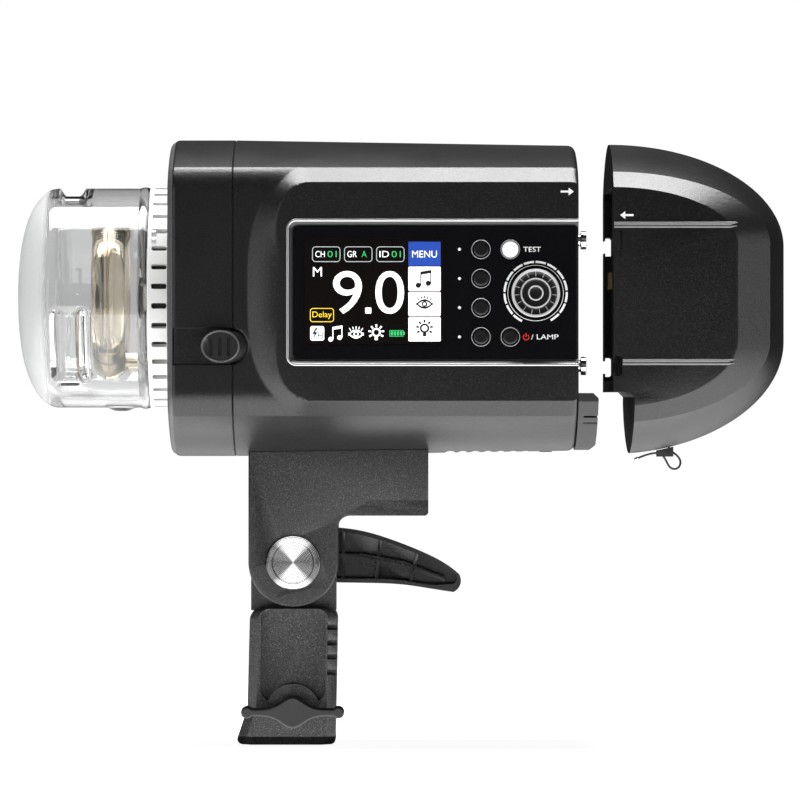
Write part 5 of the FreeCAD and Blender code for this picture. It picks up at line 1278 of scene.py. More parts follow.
# ---- control panel ------------------------------------------------------------------------------
@dataclass
class Printer:
    """Flat printed or lit shapes in X and Z, a few hundredths of a millimetre thick."""

    face: float
    axis: float
    lift: float = 0.04
    mould: Mould = field(default_factory=Mould)

    def shape(self, outline: Array) -> None:
        """A filled outline; heights are from the axis."""
        moved = outline + np.array([0.0, self.axis])
        self.mould.prism(moved, self.face - self.lift, self.face)

    def ring(self, outer: Array, inner: Array) -> None:
        """The strip between two outlines with the same number of points."""
        rows = []
        for outline, y in ((outer, self.face), (outer, self.face - self.lift),
                           (inner, self.face - self.lift), (inner, self.face)):
            rows.append(np.column_stack([outline[:, 0], np.full(len(outline), y),
                                         outline[:, 1] + self.axis]))
        self.mould.grid(np.stack(rows), wrap_u=True, wrap_v=True)

    def box(self, x0: float, x1: float, z0: float, z1: float, radius: float,
            stroke: float = 0.0) -> None:
        """A rounded box, filled or, with a stroke, as a line."""
        outer = rounded_box(x0, x1, z0, z1, radius)
        if stroke <= 0:
            self.shape(outer)
            return
        inner = rounded_box(x0 + stroke, x1 - stroke, z0 + stroke, z1 - stroke,
                            max(radius - stroke, 0.05))
        self.ring(outer, inner)

    def dot(self, x: float, z: float, radius: float) -> None:
        """A filled disc."""
        self.shape(round_outline(x, z, radius, 32))

    def hoop(self, x: float, z: float, outer: float, inner: float) -> None:
        """A ring line."""
        self.ring(round_outline(x, z, outer, 64), round_outline(x, z, inner, 64))

    def arc(self, x: float, z: float, outer: float, inner: float, start: float,
            end: float) -> None:
        """Part of a ring line, between two angles in degrees."""
        a = np.radians(np.linspace(start, end, 9))
        far = np.column_stack([x + outer * np.cos(a), z + outer * np.sin(a)])
        close = np.column_stack([x + inner * np.cos(a), z + inner * np.sin(a)])
        self.shape(np.concatenate([far, close[::-1]]))

    def text(self, words: str, x0: float, x1: float, z0: float, z1: float) -> None:
        """Letters stretched to fill a box."""
        curve = bpy.data.curves.new("letters", "FONT")
        curve.body = words
        curve.extrude = 0.01
        curve.resolution_u = 6
        holder = bpy.data.objects.new("letters", curve)
        bpy.context.scene.collection.objects.link(holder)
        bpy.context.view_layer.update()
        graph = bpy.context.evaluated_depsgraph_get()
        mesh = bpy.data.meshes.new_from_object(holder.evaluated_get(graph))
        flat = np.zeros(len(mesh.vertices) * 3)
        mesh.vertices.foreach_get("co", flat)
        points = flat.reshape(-1, 3)
        low, high = points.min(0), points.max(0)
        share = (points - low) / np.maximum(high - low, 1e-9)
        placed = np.column_stack([x0 + share[:, 0] * (x1 - x0),
                                  self.face - share[:, 2] * self.lift,
                                  self.axis + z0 + share[:, 1] * (z1 - z0)])
        start = self.mould.count
        self.mould.points.append(placed)
        self.mould.count += len(placed)
        for face in mesh.polygons:
            self.mould.faces.append([start + i for i in face.vertices])
            self.mould.marks.append(0)
        bpy.data.objects.remove(holder)
        bpy.data.curves.remove(curve)
        bpy.data.meshes.remove(mesh)

    def note(self, x: float, z: float, size: float) -> None:
        """Two joined notes: round heads, stems and a slanted beam."""
        for side in (-1.0, 1.0):
            head_x = x + side * size * 0.32 - size * 0.08
            head_z = z - size * 0.36 + side * size * 0.06
            self.dot(head_x, head_z, size * 0.17)
            stem = head_x + size * 0.13
            self.shape(np.array([[stem, head_z], [stem + size * 0.07, head_z],
                                 [stem + size * 0.07, head_z + size * 0.74],
                                 [stem, head_z + size * 0.74]]))
        left = x - size * 0.27
        right = x + size * 0.44
        beam = z + size * 0.27
        self.shape(np.array([[left, beam - size * 0.02], [right, beam + size * 0.1],
                             [right, beam + size * 0.3], [left, beam + size * 0.18]]))

    def eye(self, x: float, z: float, size: float) -> None:
        """Two lids, a ring for the iris, and lashes."""
        for lift in (1.0, -1.0):
            t = np.linspace(-1.0, 1.0, 17)
            high = z + lift * size * 0.32 * (1 - t * t)
            run = np.column_stack([x + t * size * 0.55, high])
            thick = np.column_stack([x + t * size * 0.55, high - lift * size * 0.13])
            self.shape(np.concatenate([run, thick[::-1]]))
        self.hoop(x, z, size * 0.19, size * 0.1)
        for lean in (-0.5, -0.25, 0.0, 0.25, 0.5):
            foot = x + lean * size * 0.75
            base = z + size * (0.38 - 0.5 * lean * lean)
            self.shape(np.array([[foot - size * 0.045, base], [foot + size * 0.045, base],
                                 [foot + size * (0.03 + lean * 0.2), base + size * 0.18],
                                 [foot + size * (lean * 0.2 - 0.03), base + size * 0.18]]))

    def bulb(self, x: float, z: float, size: float) -> None:
        """A ring with a foot and seven rays."""
        self.hoop(x, z + size * 0.06, size * 0.28, size * 0.17)
        self.box(x - size * 0.1, x + size * 0.1, z - size * 0.42, z - size * 0.2, size * 0.04)
        for turn in range(-120, 121, 40):
            a = math.radians(90 + turn)
            out = np.array([math.cos(a), math.sin(a)])
            side = np.array([-out[1], out[0]]) * size * 0.055
            base = np.array([x, z + size * 0.06])
            ends = [base + out * size * 0.33, base + out * size * 0.5]
            self.shape(np.array([ends[0] - side, ends[0] + side, ends[1] + side,
                                 ends[1] - side]))

    def arrow(self, x: float, z: float, length: float, turn: float) -> None:
        """A plain arrow that points along turn * X."""
        head, stem = 1.55, 0.42
        neck = length / 2 - 2.1
        side = np.array([[-length / 2, -stem], [neck, -stem], [neck, -head],
                         [length / 2, 0.0], [neck, head], [neck, stem], [-length / 2, stem]])
        side[:, 0] *= turn
        self.shape(side + np.array([x, z]))

    def cast(self, name: str, finish: Finish) -> bpy.types.Object:
        """Makes one object of everything printed so far."""
        return self.mould.cast(name, [finish], 30.0, 0.0005)


@dataclass
class ControlSide(Assembly):
    """The near cheek: bright strip, display picture, keys, dial and printed marks."""

    strip_corner: float = 4.0
    dial_radius: float = 9.7
    ring_segments: int = 14

    def __post_init__(self) -> None:
        """Reads the places that the frame settles."""
        self.axis = axis_height()
        self.panel_face = reach("control_panel")[0][1]
        self.glass_face = reach("display_module")[0][1]
        self.rear = reach("main_housing")[1][0]
        self.cheek = reach("main_housing")[0][1]
        self.strip = reach("panel_frame")
        self.keys = {}
        for name in ("menu_key_1", "menu_key_2", "menu_key_3", "menu_key_4", "test_key",
                     "power_key"):
            low, high = reach(name)
            self.keys[name] = ((low[0] + high[0]) / 2, (low[2] + high[2]) / 2 - self.axis)
        low, high = reach("dial")
        self.dial = ((low[0] + high[0]) / 2, (low[2] + high[2]) / 2 - self.axis)
        self.screen = reach("display_module")

    def strip_path(self, low: Array, high: Array) -> tuple[Array, Array]:
        """The U from the rear along the top, round the front and back, with its inward side."""
        r = self.strip_corner
        z0, z1 = low[2], high[2]
        runs = [np.linspace([high[0], z1], [low[0] + r, z1], 20)]
        for cx, cz, start in ((low[0] + r, z1 - r, 90.0), (low[0] + r, z0 + r, 180.0)):
            a = np.radians(start + np.linspace(0.0, 90.0, 10))
            runs.append(np.column_stack([cx + r * np.cos(a), cz + r * np.sin(a)]))
        runs.append(np.linspace([low[0] + r, z0], [high[0], z0], 20))
        path = np.concatenate(runs)
        keep = np.concatenate([[True], np.linalg.norm(np.diff(path, axis=0), axis=1) > 1e-6])
        path = path[keep]
        along = np.gradient(path, axis=0)
        along /= np.linalg.norm(along, axis=1)[:, None]
        inward = np.column_stack([-along[:, 1], along[:, 0]])
        return path, inward

    def bright_strip(self, node: str, name: str, sign: float) -> None:
        """The strip: one profile carried round the U.

        The profile is a dark outer lip, a bright rounded crest and a long bevel that runs
        down to the panel.
        """
        low, high = reach(node)
        path, inward = self.strip_path(low, high)
        face = abs(self.cheek)
        profile = [(0.0, face - 1.7), (0.0, face + 0.05), (0.12, face + 0.2), (0.55, face + 0.26),
                   (0.85, face + 0.2), (1.0, face), (2.75, face - 0.95), (2.9, face - 1.1),
                   (2.9, face - 1.7)]
        rows = np.stack([np.column_stack([path[:, 0] + inward[:, 0] * a,
                                          np.full(len(path), sign * b),
                                          path[:, 1] + inward[:, 1] * a]) for a, b in profile],
                        axis=1)
        marks = np.array([0, 1, 1, 1, 1, 0, 0, 0, 0])
        mould = Mould()
        index = mould.grid(rows, wrap_v=True, mark=marks[None, :])
        mould.cap(index[0])
        mould.cap(index[-1])
        piece = mould.cast(name, [STRIP_DARK, TRIM], 50.0)
        self.settle(piece, "head", "silver_trim", [node])

    def picture(self) -> None:
        """The lit picture on the display."""
        low, high = self.screen
        x0, x1 = low[0] + 1.4, high[0] - 1.8
        top, bottom = high[2] - self.axis - 1.3, low[2] - self.axis + 1.3
        column = x0 + 40.2
        cells = np.linspace(top - 9.75, bottom, 4)
        sheets = {key: Printer(self.glass_face, self.axis) for key in
                  ("white", "blue", "green", "yellow", "grey")}
        over = {key: Printer(self.glass_face - 0.04, self.axis) for key in ("white", "black")}
        sheets["blue"].box(column, x1, top - 9.6, top, 0.15)
        over["white"].text("MENU", column + 1.5, x1 - 1.5, top - 6.3, top - 3.6)
        for upper, lower in zip(cells[:-1], cells[1:]):
            sheets["white"].box(column, x1, lower + 0.2, upper - 0.2, 0.5)
        middle = (column + x1) / 2
        over["black"].note(middle, (cells[0] + cells[1]) / 2, 6.2)
        over["black"].eye(middle, (cells[1] + cells[2]) / 2, 6.0)
        over["black"].bulb(middle, (cells[2] + cells[3]) / 2, 6.8)
        for number, (words, value) in enumerate((("CH", "01"), ("GR", "A"), ("ID", "01"))):
            left = x0 + 1.75 + number * 12.8
            sheets["grey"].box(left, left + 11.3, top - 8.1, top - 1.9, 1.4, 0.3)
            sheets["white"].text(words, left + 1.3, left + 5.1, top - 6.2, top - 3.7)
            wide = 3.7 if len(value) > 1 else 2.2
            sheets["green"].text(value, left + 8.0 - wide / 2, left + 8.0 + wide / 2, top - 6.2,
                                 top - 3.7)
        sheets["white"].text("M", x0 + 2.1, x0 + 5.7, 7.5, 11.3)
        sheets["white"].text("9", x0 + 10.1, x0 + 21.7, -7.4, 9.7)
        sheets["white"].box(x0 + 23.0, x0 + 25.4, -7.3, -4.9, 0.3)
        sheets["white"].text("0", x0 + 27.0, x0 + 38.5, -7.4, 9.7)
        sheets["yellow"].box(x0 + 0.9, x0 + 10.5, -10.7, -5.1, 1.2, 0.3)
        sheets["yellow"].text("Delay", x0 + 1.9, x0 + 9.6, -9.5, -6.5)
        row = -15.2
        sheets["white"].box(x0 + 1.0, x0 + 6.6, row - 2.9, row + 2.9, 0.9)
        over["black"].text("H", x0 + 4.0, x0 + 6.0, row - 2.1, row + 0.6)
        over["black"].shape(np.array([[x0 + 3.2, row + 2.2], [x0 + 1.8, row - 0.3],
                                      [x0 + 2.7, row - 0.3], [x0 + 2.3, row - 2.3],
                                      [x0 + 3.9, row + 0.5], [x0 + 2.9, row + 0.5],
                                      [x0 + 4.1, row + 2.2]]))
        sheets["white"].note(x0 + 11.4, row, 5.6)
        sheets["white"].eye(x0 + 19.3, row - 0.3, 5.6)
        sheets["white"].bulb(x0 + 27.4, row, 6.4)
        sheets["green"].box(x0 + 32.6, x0 + 38.3, row - 1.3, row + 1.3, 0.3, 0.25)
        sheets["green"].box(x0 + 38.3, x0 + 38.8, row - 0.6, row + 0.6, 0.1)
        for i in range(4):
            left = x0 + 33.1 + i * 1.25
            sheets["green"].box(left, left + 0.95, row - 0.85, row + 0.85, 0.1)
        names = {"white": LIT_WHITE, "blue": LIT_BLUE, "green": LIT_GREEN,
                 "yellow": LIT_YELLOW, "grey": LIT_TEAL}
        for key, finish in names.items():
            piece = sheets[key].cast(f"display_{key}", finish)
            self.settle(piece, "head", "display_glass")
        self.settle(over["white"].cast("display_head_words", LIT_WHITE), "head", "display_glass")
        self.settle(over["black"].cast("display_icons", LIT_BLACK), "head", "display_glass")

    def marks(self) -> None:
        """Printed marks: key dots, dial ring, generic labels and the two slide arrows."""
        ink = Printer(self.panel_face, self.axis)
        for number in range(1, 5):
            x, z = self.keys[f"menu_key_{number}"]
            ink.dot(x - 8.6, z, 0.6)
        x, z = self.dial
        for i in range(self.ring_segments):
            start = -62.0 + i * 22.0
            ink.arc(x, z, 12.85, 12.0, start + 1.0, start + 20.0)
        ink.hoop(x, z, 11.2, 11.0)
        tx, tz = self.keys["test_key"]
        ink.text("TEST", tx + 5.2, tx + 12.2, tz - 1.0, tz + 1.0)
        px, pz = self.keys["power_key"]
        ink.text("/ LAMP", px + 8.3, px + 19.2, pz - 1.0, pz + 1.0)
        self.settle(ink.cast("panel_marks", INK_WHITE_PAINTED_GLOW), "head", "gloss_panel")
        red = Printer(self.panel_face, self.axis)
        red.arc(px + 6.3, pz - 0.1, 1.35, 0.98, 125.0, 415.0)
        red.box(px + 6.12, px + 6.48, pz - 0.1, pz + 1.5, 0.1)
        self.settle(red.cast("power_symbol", RED_INK_PAINTED_GLOW), "head", "gloss_panel")
        side = Printer(self.cheek, self.axis)
        side.arrow(self.rear - 4.6, 41.4, 5.3, 1.0)
        self.settle(side.cast("head_arrow", INK_WHITE_PAINTED_GLOW), "head", "housing_black")
        battery = Printer(reach("battery_case")[0][1], self.axis)
        battery.arrow(reach("battery_case")[0][0] + 5.2, 32.0, 5.4, -1.0)
        self.settle(battery.cast("battery_arrow", INK_WHITE_PAINTED_GLOW), "battery", "battery_black")

    def key_piece(self, name: str) -> None:
        """A key: a ring line painted grey as a highlight, a dark gap, and a cap with a shallow
        dish.
        """
        x, z = self.keys[name]
        low, high = reach(name)
        face, back = low[1], high[1]
        white = name == "test_key"
        cap_r = 3.15 if white else 2.95
        profile = np.array([
            [0.0, face + (0.0 if white else 0.12)], [cap_r * 0.55, face + (0.0 if white else 0.1)],
            [cap_r - 0.35, face], [cap_r, face + 0.22],
            [cap_r + 0.12, face + 0.5], [3.5, face + 0.5], [3.58, face + 0.1], [3.72, face],
            [3.84, face + 0.1], [3.88, face + 0.5], [3.88, face + 2.3], [1.4, face + 2.3],
            [1.4, back], [0.0, back]])
        cap = KEY_WHITE if white else KEY_GREY
        # the ring runs take the grey painted highlight
        marks = np.array([0, 0, 0, 0, 2, 2, 1, 1, 1, 2, 2, 2, 2])
        mould = Mould()
        mould.lathe(profile, (x, 0.0, z + self.axis), 1, 72, marks[None, :], closed=False)
        piece = mould.cast(f"{name}_cap", [cap, KEY_RING_PAINTED_HIGHLIGHT, PANEL_BLACK], 40.0)
        slot = "key_white" if white else "key_black"
        self.settle(piece, name, slot, [name])

    def dial_piece(self) -> None:
        """The dial: bright rim, sunk face with a ring, and its ticks."""
        low, high = reach("dial")
        x, z = self.dial
        face, back = low[1], high[1]
        r = self.dial_radius
        bore = 3.2
        profile = np.array([
            [bore, back], [bore, face + 0.6], [bore + 0.12, face + 0.42], [4.6, face + 0.34],
            [5.5, face + 0.3], [5.7, face + 0.12], [5.9, face + 0.12], [6.1, face + 0.45],
            [6.5, face + 0.62], [8.6, face + 0.4], [8.95, face + 0.06], [9.2, face],
            [9.45, face + 0.08], [r, face + 0.45], [r, face + 3.05], [8.5, face + 3.05],
            [8.5, back]])
        marks = np.array([0, 0, 0, 0, 1, 1, 1, 0, 0, 1, 1, 1, 1, 2, 0, 0, 0])
        mould = Mould()
        mould.lathe(profile, (x, 0.0, z + self.axis), 1, 120, marks[None, :])
        piece = mould.cast("dial_body", [DIAL_DARK, DIAL_RIM, DIAL_SIDE], 40.0)
        self.settle(piece, "dial", "dial_black", ["dial"])
        ticks = Mould()
        for i in range(15):
            a = math.radians(90.0 + i * 24.0)
            out = np.array([math.cos(a), math.sin(a)])
            side = np.array([-out[1], out[0]]) * 0.1
            base = np.array([x, z + self.axis])
            inner, outer = base + out * 6.6, base + out * 8.55
            ticks.prism(np.array([inner - side, inner + side, outer + side, outer - side]),
                        face + 0.34, face + 0.75)
        self.settle(ticks.cast("dial_ticks", [DIAL_RIM], 40.0), "dial", "dial_black")
        low, high = reach("dial_button")
        bx = (low[0] + high[0]) / 2
        bz = (low[2] + high[2]) / 2
        cap = np.array([[0.0, low[1] + 0.35], [1.6, low[1] + 0.3], [2.5, low[1] + 0.1],
                        [2.8, low[1]], [3.05, low[1] + 0.14], [3.12, low[1] + 0.4],
                        [3.12, low[1] + 5.0], [1.5, low[1] + 5.0], [1.5, high[1]],
                        [0.0, high[1]]])
        button = Mould()
        marks = np.array([0, 0, 1, 1, 1, 0, 0, 0, 0])
        button.lathe(cap, (bx, 0.0, bz), 1, 72, marks[None, :], closed=False)
        piece = button.cast("dial_button_cap", [DIAL_DARK, DIAL_RIM], 40.0)
        self.settle(piece, "dial_button", "dial_black", ["dial_button"])

    def build(self) -> None:
        """Makes the near cheek's pieces and the far cheek's strip."""
        self.bright_strip("panel_frame", "panel_strip", -1.0)
        self.bright_strip("side_frame", "side_strip", 1.0)
        self.picture()
        self.marks()
        for name in self.keys:
            self.key_piece(name)
        self.dial_piece()


# ---- lock slider --------------------------------------------------------------------------------
@dataclass
class LockSlider(Assembly):
    """The leaning oval knob with three finger grooves and its carriage inside."""

    base: tuple[float, float, float] = (-24.9, 7.6, 6.4)
    crest: tuple[float, float, float] = (-28.4, 7.75, 6.55)
    grooves: tuple[float, ...] = (-31.9, -28.4, -25.0)
    lean: float = 0.15

    def knob(self) -> None:
        """Ovals from the channel's floor to the leaning face, with a thin raised rim."""
        low, high = reach("lock_slider")
        ring_low, ring_high = reach("lock_pin")
        middle = (ring_low[2] + ring_high[2]) / 2
        side = reach("front_housing")[0][1]
        foot = side + 0.9
        top = low[1] + 0.75
        a = np.linspace(0, 2 * np.pi, 72, endpoint=False)
        rows = []
        for share, grow in ((0.0, 0.0), (0.55, 0.0), (0.9, 0.0), (0.97, -0.05), (1.03, -0.25),
                            (1.03, -0.55), (0.95, -0.8), (0.95, -3.0)):
            x = self.base[0] + share * (self.crest[0] - self.base[0])
            wide = self.base[1] + share * (self.crest[1] - self.base[1]) + grow
            tall = self.base[2] + share * (self.crest[2] - self.base[2]) + grow
            px = x + wide * np.cos(a)
            y = foot + share * (top - foot) + self.lean * (px - x) * min(share, 1.0)
            rows.append(np.column_stack([px, y, middle + tall * np.sin(a)]))
        # the rim rings take the lighter rim finish: a painted highlight
        marks = np.array([0, 0, 0, 1, 1, 1, 0])
        mould = Mould()
        index = mould.grid(np.stack(rows), wrap_v=True, mark=marks[:, None])
        mould.cap(index[0])
        mould.cap(index[-1])
        piece = mould.cast("slider_knob", [SLIDER_SKIN, RIM_PAINTED_HIGHLIGHT], 40.0)
        cutter = Mould()
        for x in self.grooves:
            drop = -self.lean * (self.crest[0] - x)
            slot = rounded_box(x - 0.75, x + 0.75, middle - 3.7, middle + 3.7, 0.7, 4)
            cutter.prism(slot, top - 4.0, top + 1.1 + drop)
        carve(piece, cutter.cast("groove_cutter", [SLIDER_SKIN]), 40.0)
        self.settle(piece, "lock_slider", "soft_black_plastic", ["lock_slider"])
        inner = Mould()
        inner.cushion(rounded_box(-27.0, -22.2, middle - 2.4, middle + 2.4, 0.5), side + 0.6,
                      side + 4.3, 0.2)
        inner.cushion(rounded_box(-33.0, -19.0, middle - 4.0, middle + 4.0, 1.2), side + 4.0,
                      high[1], 0.5)
        self.settle(inner.cast("slider_carriage", [SOFT_BLACK], 40.0), "lock_slider",
                    "soft_black_plastic")

    def build(self) -> None:
        """Makes the knob and carriage."""
        self.knob()


# ---- bracket ------------------------------------------------------------------------------------
@dataclass
class Bracket(Assembly):
    """Clamp knob and the spun disc; the castings are rounded copies of the CAD pieces."""

    disc_radius: float = 11.0

    def spun_disc(self) -> None:
        """The pivot bolt: a turned head with fine rings, and its shank."""
        low, high = reach("pivot_bolt")
        x = (low[0] + high[0]) / 2
        z = (low[2] + high[2]) / 2
        face = low[1]
        r = self.disc_radius
        profile = np.array([
            [0.0, face + 0.3], [0.9, face + 0.28], [1.0, face + 0.14], [8.1, face + 0.14],
            [8.25, face + 0.4], [8.5, face + 0.4], [8.65, face + 0.05], [10.3, face],
            [10.75, face + 0.12], [r, face + 0.45], [r, face + 2.8], [5.0, face + 2.8],
            [5.0, high[1] - 0.6], [4.4, high[1]], [0.0, high[1]]])
        mould = Mould()
        mould.lathe(profile, (x, 0.0, z), 1, 120, closed=False)
        spun = Metal("spun_steel", (0.8, 0.8, 0.81), 0.24, Brush.RINGS_Y, (x, z), 0.55, 0.03, 0.22)
        piece = mould.cast("spun_disc", [spun], 35.0)
        self.settle(piece, "head", "spun_steel", ["pivot_bolt"])

    def wing_knob(self) -> None:
        """Two slim wings that swell into the hub.

        Half thickness is a slim arm plus a bell at the middle, and a round end: the larger of
        the arm and the end's circle.
        """
        low, high = reach("wing_knob")
        screw_low, screw_high = reach("clamp_screw")
        middle = (screw_low[2] + screw_high[2]) / 2
        half = high[0]
        end = 2.45
        x = np.linspace(-half, half, 121)[1:-1]
        arm = 1.5 + 4.9 * np.exp(-(np.abs(x) / 6.2) ** 2)
        ball = np.sqrt(np.maximum(end ** 2 - (np.abs(x) - (half - end)) ** 2, 0.0))
        ball = np.where(np.abs(x) > half - 2 * end, ball, 0.0)
        thick = np.where(np.abs(x) > half - end, ball, np.maximum(arm, ball))
        outline = np.concatenate([np.column_stack([x, middle + thick]), [[half, middle]],
                                  np.column_stack([x[::-1], middle - thick[::-1]]),
                                  [[-half, middle]]])
        mould = Mould()
        inward = inward_normals(outline)
        depth = high[1] - 2.0 - low[1]
        rows = []
        for share, draw in ((0.0, 0.75), (0.03, 0.35), (0.09, 0.08), (0.2, 0.0), (0.8, 0.0),
                            (0.91, 0.08), (0.97, 0.35), (1.0, 0.75)):
            moved = outline + inward * draw
            rows.append(np.column_stack([moved[:, 0], np.full(len(moved), low[1] + share * depth),
                                         moved[:, 1]]))
        index = mould.grid(np.stack(rows), wrap_v=True)
        mould.cap(index[0])
        mould.cap(index[-1])
        mould.lathe(np.array([[0.0, high[1] - 3.2], [5.9, high[1] - 3.2], [6.3, high[1] - 2.6],
                              [6.3, high[1] - 0.3], [6.0, high[1]], [0.0, high[1]]]),
                    (0.0, 0.0, middle), 1, 64, closed=False)
        piece = mould.cast("clamp_wings", [SOFT_BLACK], 34.0)
        self.settle(piece, "clamp_knob", "soft_black_plastic", ["wing_knob"])

    def build(self) -> None:
        """Makes the disc and the knob."""
        self.spun_disc()
        self.wing_knob()


# ---- pieces that keep their CAD shape -----------------------------------------------------------
@dataclass
class Fittings(Assembly):
    """CAD pieces: outer ones become copies with rounded edges, inner ones get their finish."""

    rounded: dict[str, tuple[str, Finish, float]] = field(default_factory=lambda: {
        "upper_bracket": ("cast_black", CAST, 0.45),
        "stand_adapter": ("cast_black", CAST_PAINTED_LIGHTER, 0.6),
        "tilt_lever": ("lever_black", LEVER_SKIN, 0.35),
        "latch_heel": ("soft_black_plastic", SOFT_BLACK, 0.3),
        "battery_studs": ("bright_steel", CHROME, 0.3),
        "foot_screws": ("black_steel", BLACK_STEEL, 0.2),
        "release_button": ("rubber_black", RUBBER, 0.25),
        "port_cover": ("rubber_black", RUBBER, 0.3),
        "tether_saddle": ("soft_black_plastic", SOFT_BLACK, 0.25),
        "rear_bulkhead": ("inner_black", INNER, 0.2),
        "battery_front_plate": ("inner_black", INNER, 0.2),
        "bayonet_ring": ("bright_alloy", ALLOY, 0.25),
    })
    finished: dict[str, Finish] = field(default_factory=lambda: {
        "pivot_washers": FIBRE, "clamp_pad": BRASS, "clamp_screw": ZINC,
        "bulkhead_screws": BLACK_STEEL, "head_contacts": INNER, "control_panel": PANEL_BLACK,
        "display_module": DISPLAY_BLACK, "control_board": BOARD_GREEN, "side_panel": INNER,
        "side_sockets": CHROME, "battery_lock_pin": CHROME, "lock_pin": ZINC,
        "capacitor_bank": SLEEVE, "power_board": BOARD_GREEN, "fan_frame": INNER,
        "fan_rotor": INNER, "heat_sink": ALLOY, "tube_socket": CERAMIC,
        "reflector_plate": REFLECTOR, "modelling_lamp": CERAMIC, "lamp_lens": LENS,
        "battery_cells": CELL_SLEEVE, "battery_board": BOARD_GREEN, "battery_blades": BRASS,
        "tether_ferrule": ZINC,
    })

    def rounded_copy(self, node: str, slot: str, finish: Finish, width: float) -> None:
        """A merged copy of a CAD piece with a small round on its crisp edges."""
        mesh = frame["nodes"][node].data.copy()
        mesh.name = f"{node}_form"
        shell = bmesh.new()
        shell.from_mesh(mesh)
        bmesh.ops.remove_doubles(shell, verts=shell.verts, dist=0.004 * MM)
        bmesh.ops.dissolve_limit(shell, angle_limit=math.radians(0.6), verts=shell.verts,
                                 edges=shell.edges)
        shell.to_mesh(mesh)
        shell.free()
        mesh.materials.clear()
        mesh.materials.append(finish.material())
        mesh.shade_smooth()
        mesh.set_sharp_from_angle(angle=math.radians(40.0))
        piece = bpy.data.objects.new(f"{node}_form", mesh)
        bpy.context.scene.collection.objects.link(piece)
        edge = piece.modifiers.new("edges", "BEVEL")
        edge.width = width * MM
        edge.segments = 2
        edge.limit_method = "ANGLE"
        edge.angle_limit = math.radians(40.0)
        edge.use_clamp_overlap = True
        edge.harden_normals = True
        body = frame["nodes"][node]["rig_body"]
        self.settle(piece, body, slot, [node])

    def build(self) -> None:
        """Dresses every CAD piece that keeps its shape."""
        for node, (slot, finish, width) in self.rounded.items():
            self.rounded_copy(node, slot, finish, width)
        for node, finish in self.finished.items():
            mesh = frame["nodes"][node].data
            mesh.materials.clear()
            mesh.materials.append(finish.material())
            LOG.info("%s keeps its CAD shape", node)


# ---- tether -------------------------------------------------------------------------------------
@dataclass
class Tether(Assembly):
    """The small looped cord under the battery, with a pale crimp and its ferrule."""

    radius: float = 0.43
    route: tuple[tuple[float, float, float], ...] = (
        (153.4, 1.3, 121.6), (154.1, 1.3, 119.9), (155.6, 1.2, 118.6), (157.4, 1.0, 117.2),
        (158.6, 0.7, 115.2), (158.2, 0.3, 112.9), (156.2, 0.0, 111.6), (153.9, -0.4, 112.6),
        (152.8, -0.8, 114.8), (151.6, -1.2, 117.0), (149.9, -1.4, 118.4), (147.7, -1.5, 118.5),
        (145.4, -1.5, 118.0), (143.1, -1.4, 117.3), (141.0, -1.3, 116.4),
    )
    length: float = 31.6

    def build(self) -> None:
        """One smooth line through the route and its crimp; the CAD cord is hidden and its length
        logged.
        """
        curve = bpy.data.curves.new("tether", "CURVE")
        curve.dimensions = "3D"
        curve.bevel_depth = self.radius * MM
        curve.bevel_resolution = 4
        curve.use_fill_caps = True
        curve.resolution_u = 12
        spline = curve.splines.new("NURBS")
        spline.points.add(len(self.route) - 1)
        for point, place in zip(spline.points, self.route):
            point.co = (*(c * MM for c in place), 1.0)
        spline.order_u = 3
        spline.use_endpoint_u = True
        curve.materials.append(TETHER.material())
        cord = bpy.data.objects.new("tether_line", curve)
        bpy.context.scene.collection.objects.link(cord)
        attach(cord, "battery")
        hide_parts("tether_cord")
        mould = Mould()
        ends = np.array([self.route[9], self.route[10], self.route[11]])
        t = np.linspace(0.25, 0.75, 8)[:, None]
        path = (1 - t) ** 2 * ends[0] + 2 * t * (1 - t) * ends[1] + t ** 2 * ends[2]
        mould.tube(path, self.radius + 0.22, 14)
        crimp = mould.cast("tether_crimp", [ZINC], 40.0)
        self.settle(crimp, "battery", "zinc_steel")
        LOG.info("tether: %.1f mm", self.length)


# ---- studio -------------------------------------------------------------------------------------
@dataclass(frozen=True)
class SoftLight:
    """A rectangular light: where it stands and what it faces, in metres, and its watts."""

    name: str
    place: tuple[float, float, float]
    target: tuple[float, float, float]
    size: tuple[float, float]
    power: float


LIGHTS = (
    SoftLight("overhead_softbox", (0.04, 0.06, 1.3), (0.04, 0.06, 0.0), (1.3, 0.62), 44.0),
    SoftLight("front_fill", (-0.3, -2.6, 0.9), (0.04, 0.0, 0.16), (1.4, 1.0), 0.8),
    SoftLight("low_bounce", (0.04, -0.24, 0.003), (0.04, -0.24, 1.0), (1.2, 0.62), 5.0),
    SoftLight("left_strip", (-1.05, -1.35, 0.18), (0.04, 0.0, 0.18), (0.3, 1.0), 3.2),
    SoftLight("right_strip", (1.48, -0.91, 0.18), (0.04, 0.0, 0.18), (0.25, 1.0), 3.6),
)


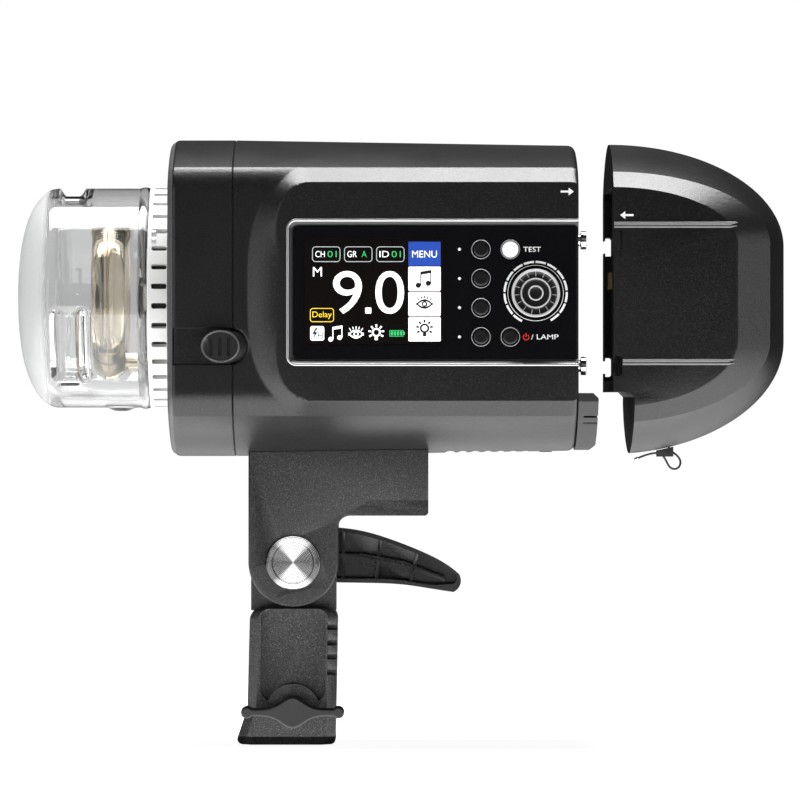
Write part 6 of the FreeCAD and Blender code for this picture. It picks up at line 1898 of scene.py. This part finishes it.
@dataclass
class Studio:
    """Camera, soft light, pale floor and surroundings."""

    distance: float = 2.4
    middle: tuple[float, float] = (0.04346, 0.1402)
    field: float = 0.328
    floor_radius: float = 1.5
    backdrop: float = 1.0
    through: float = 0.46
    ambient: float = 0.02

    def camera(self) -> None:
        """A long lens, level and square to the control side."""
        lens = bpy.data.cameras.new("camera")
        lens.sensor_width = 36.0
        lens.lens = lens.sensor_width * self.distance / self.field
        lens.clip_end = 50.0
        holder = bpy.data.objects.new("camera", lens)
        holder.location = (self.middle[0], -self.distance, self.middle[1])
        holder.rotation_euler = (math.radians(90.0), 0.0, 0.0)
        bpy.context.scene.collection.objects.link(holder)
        bpy.context.scene.camera = holder

    def lamp(self, soft: SoftLight) -> None:
        """One rectangular soft light that faces its target, unseen by the camera."""
        light = bpy.data.lights.new(soft.name, "AREA")
        light.shape = "RECTANGLE"
        light.size, light.size_y = soft.size
        light.energy = soft.power
        holder = bpy.data.objects.new(soft.name, light)
        holder.location = soft.place
        holder.visible_camera = False
        aim = Vector(soft.target) - Vector(soft.place)
        holder.rotation_euler = aim.to_track_quat("-Z", "Y").to_euler()
        bpy.context.scene.collection.objects.link(holder)

    def floor(self) -> None:
        """A pale disc that fades out at its rim."""
        mould = Mould()
        turn = np.linspace(0, 2 * np.pi, 96, endpoint=False)
        rows = [np.stack([r * np.cos(turn), r * np.sin(turn), np.full(96, -0.6)], -1)
                for r in (1.0, self.floor_radius / MM)]
        index = mould.grid(np.stack(rows), wrap_v=True)
        mould.cap(index[0])
        board = NodeBoard("floor_paper")
        x = board.along(0)
        y = board.along(1)
        radius = board.signal("ShaderNodeMath", {"operation": "SQRT"}, {0: x * x + y * y})
        fade = ((radius - 300.0) * (1.0 / 600.0)).clamp()
        seen = board.signal("ShaderNodeLightPath", output="Is Camera Ray")
        paper = board.node("ShaderNodeBsdfPrincipled", inputs={
            "Base Color": board.blend(board.noise(5.0), (0.5, 0.5, 0.5), (0.52, 0.52, 0.52)),
            "Roughness": 0.9, "Emission Color": (1.0, 1.0, 1.0), "Emission Strength": seen * 0.93})
        clear = board.node("ShaderNodeBsdfTransparent")
        mixer = board.node("ShaderNodeMixShader", inputs={0: fade})
        board.tree.links.new(paper.outputs[0], mixer.inputs[1])
        board.tree.links.new(clear.outputs[0], mixer.inputs[2])
        board.close(mixer)
        plane = mould.cast("floor", [HOUSING])
        plane.data.materials.clear()
        plane.data.materials.append(board.material)

    def surroundings(self) -> None:
        """White where the camera sees it directly, grey through glass, dim for all else."""
        world = bpy.data.worlds.new("studio")
        world.use_nodes = True
        tree = world.node_tree
        tree.nodes.clear()
        path = tree.nodes.new("ShaderNodeLightPath")
        strength = None
        for output, share in (("Is Camera Ray", self.backdrop),
                              ("Is Transmission Ray", self.through)):
            step = tree.nodes.new("ShaderNodeMath")
            step.operation = "MULTIPLY_ADD"
            tree.links.new(path.outputs[output], step.inputs[0])
            step.inputs[1].default_value = share
            if strength is None:
                step.inputs[2].default_value = self.ambient
            else:
                tree.links.new(strength, step.inputs[2])
            strength = step.outputs[0]
        shade = tree.nodes.new("ShaderNodeBackground")
        tree.links.new(strength, shade.inputs[1])
        out = tree.nodes.new("ShaderNodeOutputWorld")
        tree.links.new(shade.outputs[0], out.inputs[0])
        shade.inputs[0].default_value = (1.0, 1.0, 1.0, 1.0)
        bpy.context.scene.world = world

    def build(self) -> None:
        """Sets up the studio."""
        self.camera()
        for soft in LIGHTS:
            self.lamp(soft)
        self.floor()
        self.surroundings()
        bpy.context.scene.view_settings.view_transform = "Standard"


def main() -> None:
    """Builds the studio and every sub-assembly."""
    logging.basicConfig(level=logging.INFO, format="%(name)s: %(message)s")
    Studio().build()
    for assembly in (Tether(), HeadShells(), BatteryPack(), LampFront(), ControlSide(),
                     LockSlider(), Bracket(), Fittings()):
        LOG.info("building %s", type(assembly).__name__)
        assembly.build()


if __name__ == "__main__":
    main()
